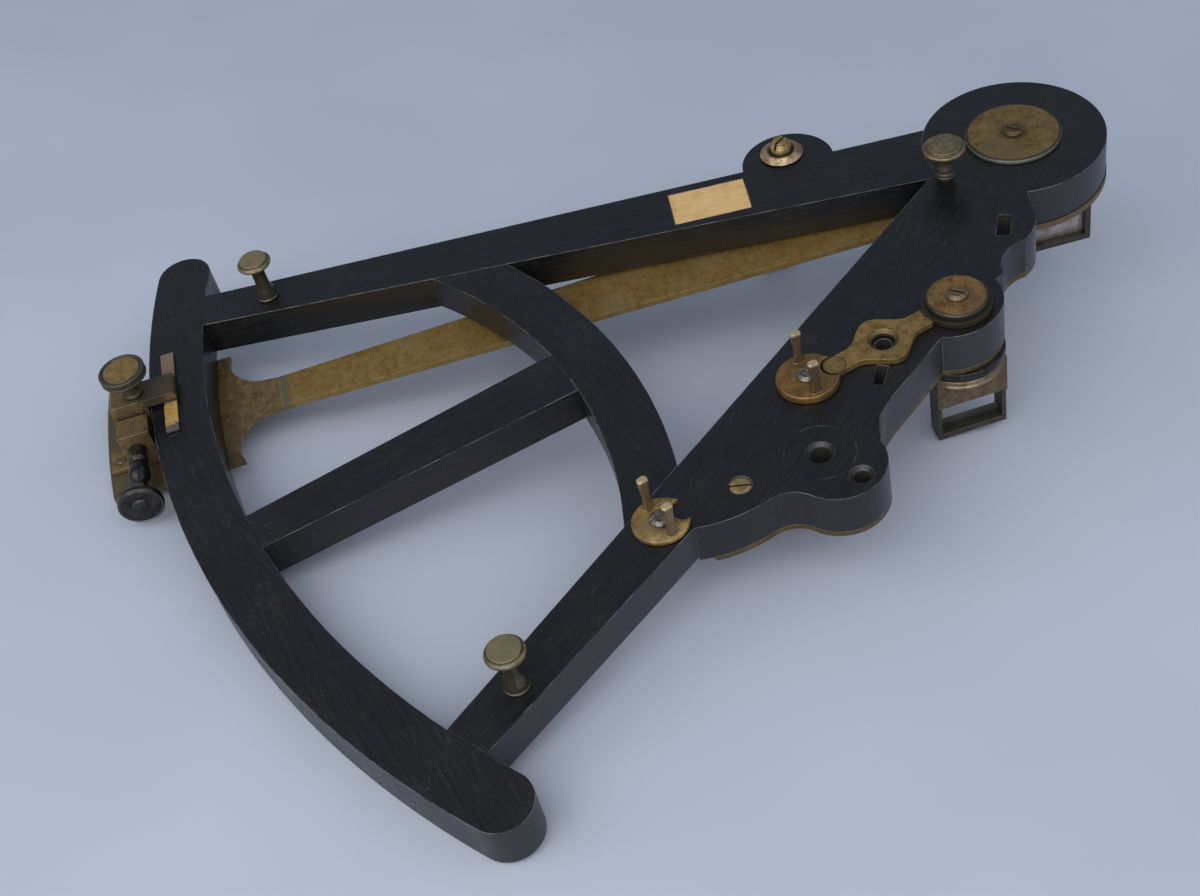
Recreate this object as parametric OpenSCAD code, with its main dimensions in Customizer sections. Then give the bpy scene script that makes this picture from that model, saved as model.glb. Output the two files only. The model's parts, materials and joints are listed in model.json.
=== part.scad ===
// Octant with a wooden frame, laid face down, so that its back is up and its mirrors hang below.
// Every piece is drawn flat first: the index pivot is the origin, the limb lies towards -Y, the back
// of the frame is the plane z = 0 and the front lies below it. laid() then rests the whole instrument
// on its three lowest corners: the sight vane, the horizon mirror's frame and the index arm's end.
// Angles along the limb are degrees to the left (-X) of the middle line.

/* [Frame] */
// Radius of the limb's outer edge about the index pivot
limb_r = 315; // [295:1:335]
// Radial width of the limb
limb_w = 19.5; // [17:0.5:22]
// Thickness of the limb, the apex and the lobes
limb_t = 14.8; // [13.6:0.1:18]
// Angle from the middle line to the centre of each rounded limb end
limb_half_deg = 26.5; // [25.5:0.1:30]
// Thickness of the straight bars, the brace and the strut
bar_t = 13.2; // [10:0.1:13.4]
// Radius of the round apex
boss_r = 31.7; // [29:0.1:33.5]
// Distance from the pivot to the crotch between the two radii
fork_y = 36; // [34:0.1:39]
// Lean of the left radius's inner edge
left_lean = 23.5; // [22:0.1:24.5]
// Lean of the right radius's inner edge
right_lean = 24.1; // [23.2:0.1:25]
// Width of the left radius across, at the crotch
left_w_top = 29.4; // [24:0.1:34]
// Width of the left radius across, at the limb
left_w_end = 16.2; // [13:0.1:19]
// Distance from the pivot to the knee where the lobes of the right radius end
knee_y = 183.5; // [178:0.5:190]
// Width of the right radius across, at the knee
right_w_knee = 20.6; // [18:0.1:23]
// Width of the right radius across, at the limb
right_w_end = 15; // [12:0.1:18]
// Radius of the cross brace's upper edge
brace_r = 186; // [176:1:196]
// Width of the cross brace
brace_w = 19; // [15:0.5:22]
// Distance from the pivot to the centre of the brace's arcs
brace_drop = 350; // [342:1:358]
// Offset of the centre strut to the right of the middle line
strut_x = 2.4; // [-10:0.1:10]
// Width of the centre strut at the brace
strut_w_top = 21; // [15:0.1:26]
// Width of the centre strut at the limb
strut_w_end = 15.3; // [10:0.1:20]
// Length of the tenons that join brace and strut to their neighbours
tenon_l = 6; // [3:0.5:7]
// Thickness of the tenons
tenon_t = 4.5; // [3:0.1:6]

/* [Lobes of the radii] */
// Place of the sight vane's lobe across
vane_lobe_x = -41.5; // [-44:0.1:-39]
// Place of the sight vane's lobe along
vane_lobe_y = -67.5; // [-70:0.1:-65]
// Radius of the sight vane's lobe
vane_lobe_r = 16.5; // [14:0.1:19]
// Place of the upper shade lobe across
shade_lobe_x = 30.5; // [29:0.1:32]
// Place of the upper shade lobe along
shade_lobe_y = -35; // [-36.5:0.1:-33.5]
// Radius of the upper shade lobe
shade_lobe_r = 16.3; // [15.6:0.1:17]
// Radius of the hollow below the upper shade lobe
shade_hollow_r = 13.5; // [12.5:0.1:14]
// Radius of the horizon mirror's lobe
horizon_lobe_r = 17.6; // [16.8:0.1:18.5]
// Radius of the hollow between the two mirror lobes
waist_hollow_r = 17.3; // [16:0.1:18.5]
// Place of the back mirror's lobe across
back_lobe_x = 90.8; // [89:0.1:92.5]
// Place of the back mirror's lobe along
back_lobe_y = -135.3; // [-137:0.1:-133.5]
// Radius of the back mirror's lobe
back_lobe_r = 15; // [14.4:0.1:17]
// Radius of the hollow below the back mirror's lobe
toe_hollow_r = 10.6; // [9:0.1:12]
// Radius of the curved toe between that hollow and the knee
toe_r = 47; // [40:1:60]

/* [Inlays and lining] */
// Width of the ivory scale arc
scale_w = 6.5; // [4:0.1:8]
// Distance from the limb's inner edge to the scale
scale_margin = 2.5; // [1.5:0.1:5]
// Thickness of the scale arc
scale_t = 1.2; // [0.8:0.1:2]
// Half angle covered by the scale
scale_half_deg = 25; // [23:0.1:26]
// Length of the ivory name plate
plaque_l = 27.5; // [20:0.1:34]
// Width of the ivory name plate
plaque_w = 17; // [10:0.1:18]
// Thickness of the ivory name plate
plaque_t = 1; // [0.6:0.1:2]
// Distance of the name plate's centre from the pivot, down the left radius
plaque_y = 100.9; // [98:0.1:150]
// Thickness of the brass lining under the lobes
lining_t = 1.9; // [1.2:0.1:2.2]
// Distance from the knee to the lining's end
lining_short = 4.5; // [1:0.1:8]
// Radius of the slotted head that holds the lining
lining_screw_r = 3.5; // [2.5:0.1:4.5]

/* [Mortises and holes] */
// Length of the mortise for the upper shades
shade_slot_l = 10.5; // [8:0.1:12]
// Width of the mortise for the upper shades
shade_slot_w = 4.5; // [3:0.1:6]
// Length of the mortise for the lower shades
low_slot_l = 8.5; // [6:0.1:9]
// Width of the mortise for the lower shades
low_slot_w = 3.5; // [2.5:0.1:4.5]
// Radius of the hole for the back mirror's axis
back_axis_r = 3.3; // [2.5:0.1:4.5]
// Radius of the hole for the back mirror's peg
back_peg_r = 2.5; // [1.5:0.1:3]
// Widening of those two holes at the back
hole_flare = 1.2; // [0.5:0.1:1.6]

/* [Feet] */
// Height of a foot above the frame
foot_h = 17.4; // [12:0.1:24]
// Radius of a foot's head
foot_head_r = 6.1; // [5:0.1:8]
// Height of the foot at the apex
apex_foot_h = 15.6; // [12:0.1:24]
// Radius of the head of the foot at the apex
apex_head_r = 7.3; // [5:0.1:8]
// Radius of a foot's neck
foot_neck_r = 2.5; // [1.8:0.1:3]
// Radius of a foot's round base
foot_base_r = 4.2; // [3.5:0.1:4.8]
// Radius of the pin that holds a foot in the wood
foot_pin_r = 2; // [1.2:0.1:2.5]
// Depth of that pin
foot_pin_l = 9; // [6:0.1:9.5]

/* [Sight vane] */
// Place of the sight vane across
vane_x = -46.8; // [-48:0.1:-44]
// Place of the sight vane along
vane_y = -66.8; // [-69:0.1:-65]
// Distance of the sight vane's plate from its stem, outwards
vane_out = 16; // [12:0.1:17]
// Depth of the sight vane's free edge below the back of the frame
vane_depth = 63.5; // [62.2:0.1:63.5]
// Width of the sight vane
vane_w = 14; // [12:0.1:18]
// Thickness of the sight vane
vane_t = 2.2; // [1.4:0.1:3]
// Radius of the sight vane's round base
vane_base_r = 9; // [7:0.1:10]
// Radius of the sight vane's stem in the wood
vane_stem_r = 3; // [2:0.1:3.5]
// Radius of the pinholes
pinhole_r = 0.7; // [0.4:0.1:1.2]
// Distance between the two pinholes
pinhole_gap = 9; // [5:0.1:14]
// Radius of the dished washer on the back
washer_r = 7.8; // [6.5:0.1:9]
// Height of the dished washer
washer_h = 2.4; // [1.5:0.1:3.5]
// Radius of the slotted nut in the washer
vane_nut_r = 3.7; // [3.6:0.1:4.2]
// Height of the slotted nut
vane_nut_h = 5; // [3:0.1:6]

/* [Index arm] */
// Rest angle of the arm
arm_rest = 15; // [12:0.1:18]
// Thickness of the arm and its end plate
arm_t = 2.4; // [1.8:0.1:3.2]
// Radius of the arm's round head
arm_head_r = 32; // [29:0.1:33.5]
// Width of the arm where it leaves the head
arm_w_root = 29.4; // [24:0.1:31]
// Width of the arm at its brazed joint
arm_w_end = 15.3; // [12:0.1:18]
// Distance from the limb's inner edge to the end plate's shoulders
plate_lead = 5.5; // [3.5:0.1:8.5]
// Length of the end plate's neck, from the shoulders to the brazed joint
plate_neck_l = 16.5; // [15.5:0.1:24]
// Width of the end plate outside the limb
plate_overhang = 21; // [20.5:0.1:26]
// Distance from the arm's line to the end plate's left side
plate_left_w = 26.5; // [24:0.1:30]
// Distance from the arm's line to the end plate's right side
plate_right_w = 29; // [26:0.1:32]
// Radius of the hollows between arm and shoulders
plate_hollow_r = 14; // [10:0.1:15]
// Half angle of the window in the end plate
window_half_deg = 3.4; // [2:0.1:4]
// Radial width of the ivory vernier
vernier_w = 4; // [3:0.1:5]
// Radius of the index spindle
axis_r = 8; // [6:0.1:9]
// Wall of the brass bush round the spindle
bush_wall = 3; // [2:0.1:4]
// Radius of the spindle's end that is riveted in the arm
rivet_r = 5; // [3.5:0.1:5.8]
// Radius of the brass disc on the back of the apex
axis_disc_r = 16.6; // [14:0.1:20]
// Thickness of that disc
axis_disc_t = 1.5; // [1:0.1:3]
// Radius of the screw head on the disc
axis_screw_r = 3.3; // [2.5:0.1:5]
// Height of the screw head on the disc
axis_screw_h = 1.4; // [0.8:0.1:2.4]

/* [Index mirror] */
// Length of the mirror's tray
mirror_l = 56; // [46:0.5:60]
// Height of the mirror's tray
mirror_h = 34; // [28:0.1:37]
// Depth of the mirror's tray
mirror_d = 7; // [6:0.1:9]
// Wall of the mirror's tray
mirror_wall = 1.2; // [1:0.1:2]
// Width of the lip that holds the glass
mirror_lip = 0.8; // [0.6:0.1:3]
// Thickness of the index glass
mirror_glass_t = 3; // [2:0.1:3.4]
// Turn of the mirror from the arm's line
mirror_turn = -2.6; // [-6:0.1:6]
// Thickness of the mirror's foot
mirror_foot_t = 2; // [1.2:0.1:3]
// Reach of the foot behind the tray
mirror_foot_reach = 12; // [9:0.1:16]
// Radius of the two screws in the foot
mirror_screw_r = 2.4; // [1.8:0.1:3]

/* [Clamp and tangent screw] */
// Width of the clamp block along the limb
clamp_w = 10.4; // [8:0.1:11]
// Offset of the clamp block from the arm's line
clamp_u = 2.2; // [1:0.1:2.6]
// Reach of the clamp block over the limb
clamp_reach = 10; // [7:0.1:13]
// Reach of the clamp block outside the limb
clamp_out = 13; // [11:0.1:14]
// Thickness of the clamp's bar over the limb
clamp_bar_t = 3.4; // [2.5:0.1:5]
// Length of the clamp's spring strip
spring_l = 40; // [25:0.5:46]
// Width of the clamp's spring strip
spring_w = 4.5; // [3:0.1:6]
// Thickness of the clamp's spring strip
spring_t = 1.1; // [0.6:0.1:1.6]
// Radius of the clamp screw's head
clamp_head_r = 8; // [6:0.1:10]
// Thickness of the clamp screw's head
clamp_head_t = 3.2; // [2:0.1:5]
// Height of the clamp screw's stem above the block
clamp_stem_h = 8.2; // [5:0.1:11]
// Radius of the clamp screw's stem
clamp_stem_r = 2.6; // [2.2:0.1:3.5]
// Width of the tangent screw's block along the limb
block_w = 9.2; // [7:0.1:11]
// Radial depth of the tangent screw's block
block_d = 10.9; // [9:0.1:12]
// Gap between the clamp block and the tangent screw's block
block_gap = 1; // [0.8:0.1:2]
// Length of the flange that holds the tangent screw's block
flange_l = 7; // [5:0.1:7.5]
// Thickness of that flange
flange_t = 1.8; // [1.2:0.1:3]
// Radius of the screw in the flange
flange_screw_r = 1.8; // [1.5:0.1:2.8]
// Radius of the tangent screw's rod
rod_r = 2.8; // [2.3:0.1:3.2]
// Length of the tangent screw's turned stem
stem_l = 25; // [18:0.1:28]
// Largest radius of the turned stem
stem_r = 4.2; // [3.4:0.1:5]
// Radius of the tangent screw's head
tangent_head_r = 7.8; // [6:0.1:8.6]
// Thickness of the tangent screw's head
tangent_head_t = 2.4; // [1.6:0.1:4]
// Depth of the tangent screw's line below the back of the frame
tangent_depth = 7; // [6:0.1:8]

/* [Horizon mirror] */
// Place of the horizon mirror's axis across
horizon_x = 58; // [57:0.1:59]
// Place of the horizon mirror's axis along
horizon_y = -67.3; // [-68.5:0.1:-66]
// Line of the mirror's frame, turned from the X direction
horizon_deg = 76; // [65:0.5:85]
// Radius of the mirror's spindle
horizon_axis_r = 4; // [3:0.1:5]
// Radius of the seat under the wood
horizon_seat_r = 15; // [12:0.1:15.4]
// Thickness of the seat
horizon_seat_t = 3; // [2:0.1:4.5]
// Radius of the ring below the seat
horizon_ring_r = 14.3; // [12:0.1:14.8]
// Thickness of the ring
horizon_ring_t = 4.7; // [3:0.1:6]
// Width of the mirror's frame
horizon_w = 24.4; // [21:0.1:28]
// Depth of the mirror's frame
horizon_d = 7; // [6.6:0.1:9]
// Height of the mirror's frame
horizon_h = 31.2; // [30.6:0.1:31.8]
// Shift of the frame along its own line, off the axis
horizon_shift = 2.4; // [0:0.1:3]
// Height of the frame below the silvered part of the pane
clear_h = 16; // [8:0.1:18]
// Wall of the mirror's frame above and below the pane
horizon_wall = 2.4; // [1.5:0.1:3]
// Wall of the mirror's frame beside the pane
horizon_stile = 1.4; // [1:0.1:2.2]
// Thickness of the horizon glass
horizon_glass_t = 2; // [1.4:0.1:2.6]
// Thickness of the brass shield over the silvered half
shield_t = 1.2; // [0.8:0.1:1.6]
// Length of the lever from the axis to the middle of its tip
lever_l = 46.9; // [44:0.1:49]
// Thickness of the lever
lever_t = 2.2; // [1.6:0.1:3]
// Radius of the lever's round head
lever_head_r = 11.4; // [9:0.1:12.5]
// Width of the lever's neck
lever_neck_w = 7; // [5:0.1:7.6]
// Width of the swelling in the middle of the lever
lever_swell_w = 20.5; // [14:0.1:24]
// Length of the swelling along the lever
lever_swell_l = 24; // [18:0.5:28]
// Distance from the axis to the middle of the swelling
lever_swell_at = 28.6; // [26:0.1:31]
// Radius of the lever's tip
lever_tip_r = 3.8; // [3.6:0.1:4.2]
// Radius of the hole in the swelling
lever_hole_r = 3.8; // [3:0.1:4.5]
// Radius of the disc on the lever's head
cap_r = 10.1; // [9:0.1:11.2]
// Thickness of that disc
cap_t = 2; // [1.2:0.1:3]
// Radius of the screw head on that disc
cap_screw_r = 3.5; // [2.5:0.1:5]
// Height of the screw head on that disc
cap_screw_h = 1.6; // [0.8:0.1:2.4]

/* [Adjusting discs] */
// Radius of the horizon mirror's adjusting disc
wing_r = 10.2; // [9.6:0.1:11]
// Thickness of the horizon mirror's adjusting disc
wing_t = 2.4; // [1.6:0.1:3.5]
// Radius of the back mirror's adjusting disc
back_wing_r = 9; // [8.5:0.1:10]
// Thickness of the back mirror's adjusting disc
back_wing_t = 1.5; // [1:0.1:3]
// Distance from the middle of a notch to the rim of its disc
wing_lip = 0.8; // [0.4:0.1:1.2]
// Play between the lever's tip and the notch
notch_play = 0.5; // [0.45:0.05:0.8]
// Radius of a peg
peg_r = 1.6; // [1:0.1:1.7]
// Height of a peg above its disc
peg_h = 12.2; // [6:0.1:14]
// Turn of the line through the pegs
peg_turn = -12; // [-20:1:10]
// Turn of the mirror disc's notch from the lever's line
wing_turn = -8; // [-10:0.5:10]
// Radius of a disc's slotted screw head
wing_screw_r = 3.4; // [2.6:0.1:3.5]
// Height of a disc's slotted screw head
wing_screw_h = 1.5; // [1:0.1:2.5]
// Place of the back mirror's disc across
back_wing_x = 78.9; // [78:0.1:80]
// Place of the back mirror's disc along
back_wing_y = -190.2; // [-193:0.1:-188]

/* [Fits] */
// Glue line between wooden pieces, and round inlays
glue = 0.1; // [0.05:0.01:0.2]
// Radial play of a spindle, screw or pin in its hole
fit = 0.05; // [0.02:0.01:0.1]
// Free gap between pieces that move past each other
run = 0.3; // [0.2:0.05:0.5]
// Wider gap where a swinging piece passes a fixed one
pass = 1; // [0.8:0.1:1.5]

/* [Hidden] */
$fn = 64;

ebony = "#23262b";
brass = "#a98433";
old_brass = "#8c7a4c";
dark_bronze = "#4a4238";
steel = "#5b5f66";
copper = "#c08a3c";
ivory = "#d9bf8c";
glass = "#c9d6d6";
silvering = "#b9aaa4";

// Levels, measured from the back of the frame
arm_top = -limb_t - run;
arm_low = arm_top - arm_t;
vane_base_t = limb_t - bar_t;
washer_seat = washer_h * 0.5;
lining_low = -limb_t - lining_t;
seat_top = lining_low - run;
ring_top = seat_top - horizon_seat_t;
horizon_top = ring_top - horizon_ring_t;
horizon_low = horizon_top - horizon_h;
foot_low = arm_low - mirror_foot_t;
mirror_low = foot_low - mirror_h;
lever_top = run + lever_t;
spring_top = run + spring_t;
clamp_top = spring_top + clamp_bar_t;

// Radii along the limb
limb_in = limb_r - limb_w;
limb_mid = limb_r - limb_w / 2;
scale_in = limb_in + scale_margin;
scale_out = scale_in + scale_w;
plate_in_r = limb_in - plate_lead;
arm_joint_r = plate_in_r - plate_neck_l;
plate_out = limb_r + plate_overhang;
brace_in_r = brace_r - brace_w;
slack_deg = glue / limb_r * 180 / PI;

// Right stop of the index arm and the taper of its edges
arm_right_stop = -22;
arm_half_root = arm_w_root / 2;
arm_taper = (arm_w_root - arm_w_end) / 2 / arm_joint_r;

// Places on the right radius
horizon_at = [horizon_x, horizon_y];
shade_lobe_at = [shade_lobe_x, shade_lobe_y];
horizon_lobe_at = horizon_at - [4, 0.6];
back_lobe_at = [back_lobe_x, back_lobe_y];
shade_hollow_at = shade_lobe_at + [29, 1];
waist_hollow_at = horizon_at + [37.7, -35.4];
toe_deg = -25;
toe_at = [right_out(knee_y), -knee_y] - toe_r * [cos(toe_deg), sin(toe_deg)];
toe_hollow_at = apex_of(toe_at, back_lobe_at, toe_r + toe_hollow_r, back_lobe_r + toe_hollow_r);
lever_tip_at = [horizon_x, horizon_y - lever_l];
mirror_wing_at = lever_tip_at - turn([0, wing_r - wing_lip], wing_turn);
back_wing_at = [back_wing_x, back_wing_y];
back_wing_turn = -3;
back_peg_turn = 3;
peg_share = 0.74;
notch_r = lever_tip_r + notch_play;
shade_slot_at = [shade_lobe_x + 5.8, shade_lobe_y + 3];
shade_slot_turn = -43;
low_slot_at = [horizon_x + 10.5, horizon_y - 37.2];
low_slot_turn = -47;
back_axis_at = [back_lobe_x - 6.6, back_lobe_y - 2];
back_peg_at = [back_lobe_x + 8.4, back_lobe_y + 2.8];
lining_screw_at = [back_lobe_x - 10.3, back_lobe_y - 28.2];
lever_hole_at = [horizon_x, horizon_y - lever_swell_at];

// Corners of the lobes' outline from the toe up to the apex, between the round lobes
lobe_corners = [toe_hollow_at, back_lobe_at, back_lobe_at + [1.2, 14.3],
    horizon_at + [21, -40.7], horizon_at + [9.1, -13.1],
    horizon_at + [-1.5, 14.8], horizon_at + [-2.8, 20.3],
    shade_lobe_at + [15.8, 2], shade_lobe_at + [5.5, 15.5], shade_lobe_at + [-1, 18.5]];

// Places of the feet: one beside the crotch, two in the middle of the radii
foot_row_y = limb_in * cos(limb_half_deg) - 12;
foot_apex_at = [foot_base_r + glue, -fork_y + 3.8];
foot_left_at = [(left_in(foot_row_y) + left_out(foot_row_y)) / 2 - 0.4, -foot_row_y + 1.5];
foot_right_at = [(right_in(foot_row_y) + right_out(foot_row_y)) / 2, -foot_row_y];

// Place of the name plate, in the middle of the left radius and turned with its outer edge
plaque_at = [(left_in(plaque_y) + left_out(plaque_y)) / 2, -plaque_y];
plaque_turn = -atan((left_out(fork_y) - left_out(limb_in)) / (limb_in - fork_y));

// Clamp and tangent screw, in the arm's own frame: u to the right, v outwards along the arm
clamp_v = limb_r + 4.2;
block_u = clamp_u + clamp_w / 2 + block_gap;
block_v = limb_r + 1.6;
tangent_v = limb_r + 7.7;
spring_v = limb_r - clamp_reach + 0.4;
stem_u = block_u + block_w + 5;
head_u = stem_u + stem_l - 5;
spigot_r = rod_r - 0.8;
spigot_l = clamp_w - 3;
clamp_shank_r = clamp_stem_r - 0.6;
clamp_shank_l = tangent_depth - spigot_r - fit - 1;

// Small screws share these shares of their own head
slot_share = 0.28;
shank_share = 0.55;

// The three corners that the instrument rests on
rest_vane = [vane_x - vane_out + vane_t / 2, vane_y - vane_w / 2, -vane_depth];
mirror_edge = turn([horizon_shift - horizon_w / 2, -horizon_d / 2], horizon_deg);
rest_mirror = concat(horizon_at + mirror_edge, [horizon_low]);
rest_plate = concat(polar(plate_out, arm_rest - asin(plate_right_w / plate_out)), [arm_low]);
table_up = unit(cross(rest_plate - rest_vane, rest_mirror - rest_vane));
lie_tip = atan2(table_up.y, table_up.z);
lie_lean = atan2(-table_up.x, norm([table_up.y, table_up.z]));

// Outermost points of the laid instrument, which centre it over the origin
left_end = lie(concat(polar(limb_mid, limb_half_deg) - [limb_w / 2, 0], [-limb_t]));
right_end = lie(concat(polar(limb_mid, -limb_half_deg) + [limb_w / 2, 0], [0]));
mirror_corner = turn([mirror_l / 2, mirror_d / 2], 90 + mirror_turn - arm_rest);
top_end = lie(concat(mirror_corner, [mirror_low]));
head_rim = turn([head_u + tangent_head_t, -tangent_v - tangent_head_r], -arm_rest);
bottom_end = lie(concat(head_rim, [-tangent_depth]));
bed = [(left_end.x + right_end.x) / 2, (top_end.y + bottom_end.y) / 2, lie(rest_mirror).z];

function unit(v) = v / norm(v);
function lerp(a, b, t) = a + (b - a) * t;
function polar(r, a) = [-r * sin(a), -r * cos(a)];
function turn(p, a) = [p.x * cos(a) - p.y * sin(a), p.x * sin(a) + p.y * cos(a)];

// The point at distance ra from a and rb from b, to the right of the way from a to b
function apex_of(a, b, ra, rb) = let (
        d = norm(b - a),
        e = (b - a) / d,
        k = (ra * ra - rb * rb + d * d) / (2 * d)
    ) a + k * e + sqrt(ra * ra - k * k) * [e.y, -e.x];

// Edges of the two radii at a distance y below the pivot
function left_in(y) = -(y - fork_y) * tan(left_lean);
function left_out(y) = left_in(y) - lerp(left_w_top, left_w_end, (y - fork_y) / (limb_in - fork_y));
function right_in(y) = (y - fork_y) * tan(right_lean);
function right_out(y) = right_in(y) + lerp(right_w_knee, right_w_end, (y - knee_y) / (limb_in - knee_y));

// Half width of the index arm at a distance v from the pivot
function arm_half(v) = arm_half_root - arm_taper * v;

// A point of the flat drawing after the instrument is tipped and leaned
function lie(p) = let (
        y = p.y * cos(lie_tip) - p.z * sin(lie_tip),
        z = p.y * sin(lie_tip) + p.z * cos(lie_tip)
    ) [p.x * cos(lie_lean) + z * sin(lie_lean), y, -p.x * sin(lie_lean) + z * cos(lie_lean)];

// A smooth turned stretch from [r0, z0] to [r1, z1], as points of a profile
function flare(r0, z0, r1, z1, steps = 6) = [for (i = [0 : steps])
    [lerp(r0, r1, (1 - cos(180 * i / steps)) / 2), lerp(z0, z1, i / steps)]];

// Half width of the horizon lever at a distance s from its axis: a neck with one smooth swelling
function lever_half(s) = let (d = abs(s - lever_swell_at) / (lever_swell_l / 2))
    lever_neck_w / 2 + (d < 1 ? (lever_swell_w - lever_neck_w) / 2 * pow(cos(90 * d), 2) : 0);

module laid() {
    translate(-bed) rotate([lie_tip, lie_lean, 0]) children();
}

module on_arm() {
    rotate(-arm_rest) children();
}

module on_horizon() {
    translate(horizon_at) rotate(horizon_deg) translate([horizon_shift, 0]) children();
}

module on_mirror() {
    on_arm() rotate(90 + mirror_turn) children();
}

// A flat piece of thickness t whose upper face is at the level top
module slab(top, t) {
    translate([0, 0, top - t]) linear_extrude(t) children();
}

// A round piece from the level low up to the level top
module rod(r, low, top) {
    translate([0, 0, low]) cylinder(r = r, h = top - low);
}

// A box from corner a to corner b
module block(a, b) {
    translate(a) cube(b - a);
}

// Part of a ring between two angles of the limb
module sector(r_in, r_out, a, b) {
    intersection() {
        difference() {
            circle(r_out);
            circle(r_in);
        }
        polygon([[0, 0], polar(2 * r_out, a), polar(2 * r_out, b)]);
    }
}

// A low domed screw head with its slot, and its shank below; the dome starts at a share of the head's height
module slotted_screw(r, h, shank_l, slot_turn = 0, dome = 0.4) {
    difference() {
        union() {
            rotate_extrude() polygon(concat([[0, 0], [r, 0]], flare(r, h * dome, r * 0.7, h, 4), [[0, h]]));
            rod(r * shank_share, -shank_l, 0);
        }
        rotate(slot_turn) block([-r * 2, -r * slot_share / 2, h * 0.45], [r * 2, r * slot_share / 2, h * 2]);
    }
}

// A rectangular mortise through the wood
module mortise(at, l, w, a) {
    translate(at) rotate(a) square([l, w], center = true);
}

// A hole through the lobes with a flared mouth at the back
module flared_hole(at, r) {
    translate(at) {
        rod(r, -limb_t - lining_t - 1, 1);
        translate([0, 0, -hole_flare]) cylinder(r1 = r, r2 = r + hole_flare, h = hole_flare);
        rod(r + hole_flare, 0, 1);
    }
}

// Outlines of the wooden frame

module limb_outline() {
    sector(limb_in, limb_r, limb_half_deg, -limb_half_deg);
    for (a = [limb_half_deg, -limb_half_deg])
        translate(polar(limb_mid, a)) circle(limb_w / 2);
}

module left_bar_outline() {
    intersection() {
        polygon([[0, 0], [0, -fork_y], [left_in(limb_r), -limb_r], [left_out(limb_r), -limb_r],
            [left_out(0), 0]]);
        circle(limb_in - glue);
    }
}

module right_bar_outline() {
    intersection() {
        polygon([[right_in(knee_y), -knee_y], [right_in(limb_r), -limb_r], [right_out(limb_r), -limb_r],
            [right_out(knee_y), -knee_y]]);
        circle(limb_in - glue);
    }
}

// The curved toe runs from the knee up to where it touches the hollow below the back mirror's lobe
function toe_points() = let (way = toe_hollow_at - toe_at, to = atan2(way.y, way.x))
    [for (i = [0 : 8]) let (a = lerp(toe_deg, to, i / 8)) toe_at + toe_r * [cos(a), sin(a)]];

module lobes_outline() {
    difference() {
        union() {
            circle(boss_r);
            polygon(concat([[0, 0], [0, -fork_y], [right_in(knee_y), -knee_y]], toe_points(), lobe_corners));
            translate(shade_lobe_at) circle(shade_lobe_r);
            translate(horizon_lobe_at) circle(horizon_lobe_r);
            translate(back_lobe_at) circle(back_lobe_r);
        }
        translate(shade_hollow_at) circle(shade_hollow_r);
        translate(waist_hollow_at) circle(waist_hollow_r);
        translate(toe_hollow_at) circle(toe_hollow_r);
    }
}

// The space between the two radii, below the crotch
module between_radii(gap) {
    polygon([[0, -fork_y - gap * 3], [left_in(limb_r) + gap, -limb_r], [right_in(limb_r) - gap, -limb_r]]);
}

module brace_outline() {
    intersection() {
        translate([0, -brace_drop]) difference() {
            circle(brace_r);
            circle(brace_in_r);
        }
        between_radii(glue);
    }
}

module strut_outline() {
    start_y = brace_in_r - brace_drop + brace_w / 2;
    top_half = strut_w_top / 2;
    end_half = strut_w_end / 2;
    intersection() {
        polygon([[strut_x - top_half, start_y], [strut_x + top_half, start_y],
            [strut_x + end_half, -limb_r], [strut_x - end_half, -limb_r]]);
        translate([0, -brace_drop]) circle(brace_in_r - glue);
        circle(limb_in - glue);
    }
}

// Tongues of the strut that enter the brace above and the limb below
module strut_tenons(play) {
    top_y = brace_drop - brace_in_r;
    half = strut_w_end / 4 + play;
    slab(-bar_t / 2 + tenon_t / 2 + play, tenon_t + play * 2)
        translate([strut_x - half, -limb_in - tenon_l - play])
            square([half * 2, limb_in - top_y + tenon_l * 2 + play * 2]);
}

// Frame

module limb() {
    groove_half_deg = scale_half_deg + slack_deg;
    laid() color(ebony) difference() {
        slab(0, limb_t) limb_outline();
        slab(-limb_t + scale_t + glue, scale_t + glue + 1)
            sector(scale_in - glue, scale_out + glue, groove_half_deg, -groove_half_deg);
        strut_tenons(glue);
    }
}

module left_radius() {
    laid() color(ebony) difference() {
        union() {
            slab(0, bar_t) left_bar_outline();
            translate([vane_lobe_x, vane_lobe_y]) rod(vane_lobe_r, -bar_t, 0);
        }
        rod(boss_r + glue, -limb_t - 1, 1);
        translate(plaque_at) rotate(plaque_turn) slab(1, plaque_t + 1)
            square([plaque_w + glue * 2, plaque_l + glue * 2], center = true);
        translate(foot_left_at) rod(foot_pin_r + fit, -foot_pin_l - fit, 1);
        translate([vane_x, vane_y]) rod(vane_stem_r + fit, -bar_t - 1, 1);
    }
}

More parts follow.
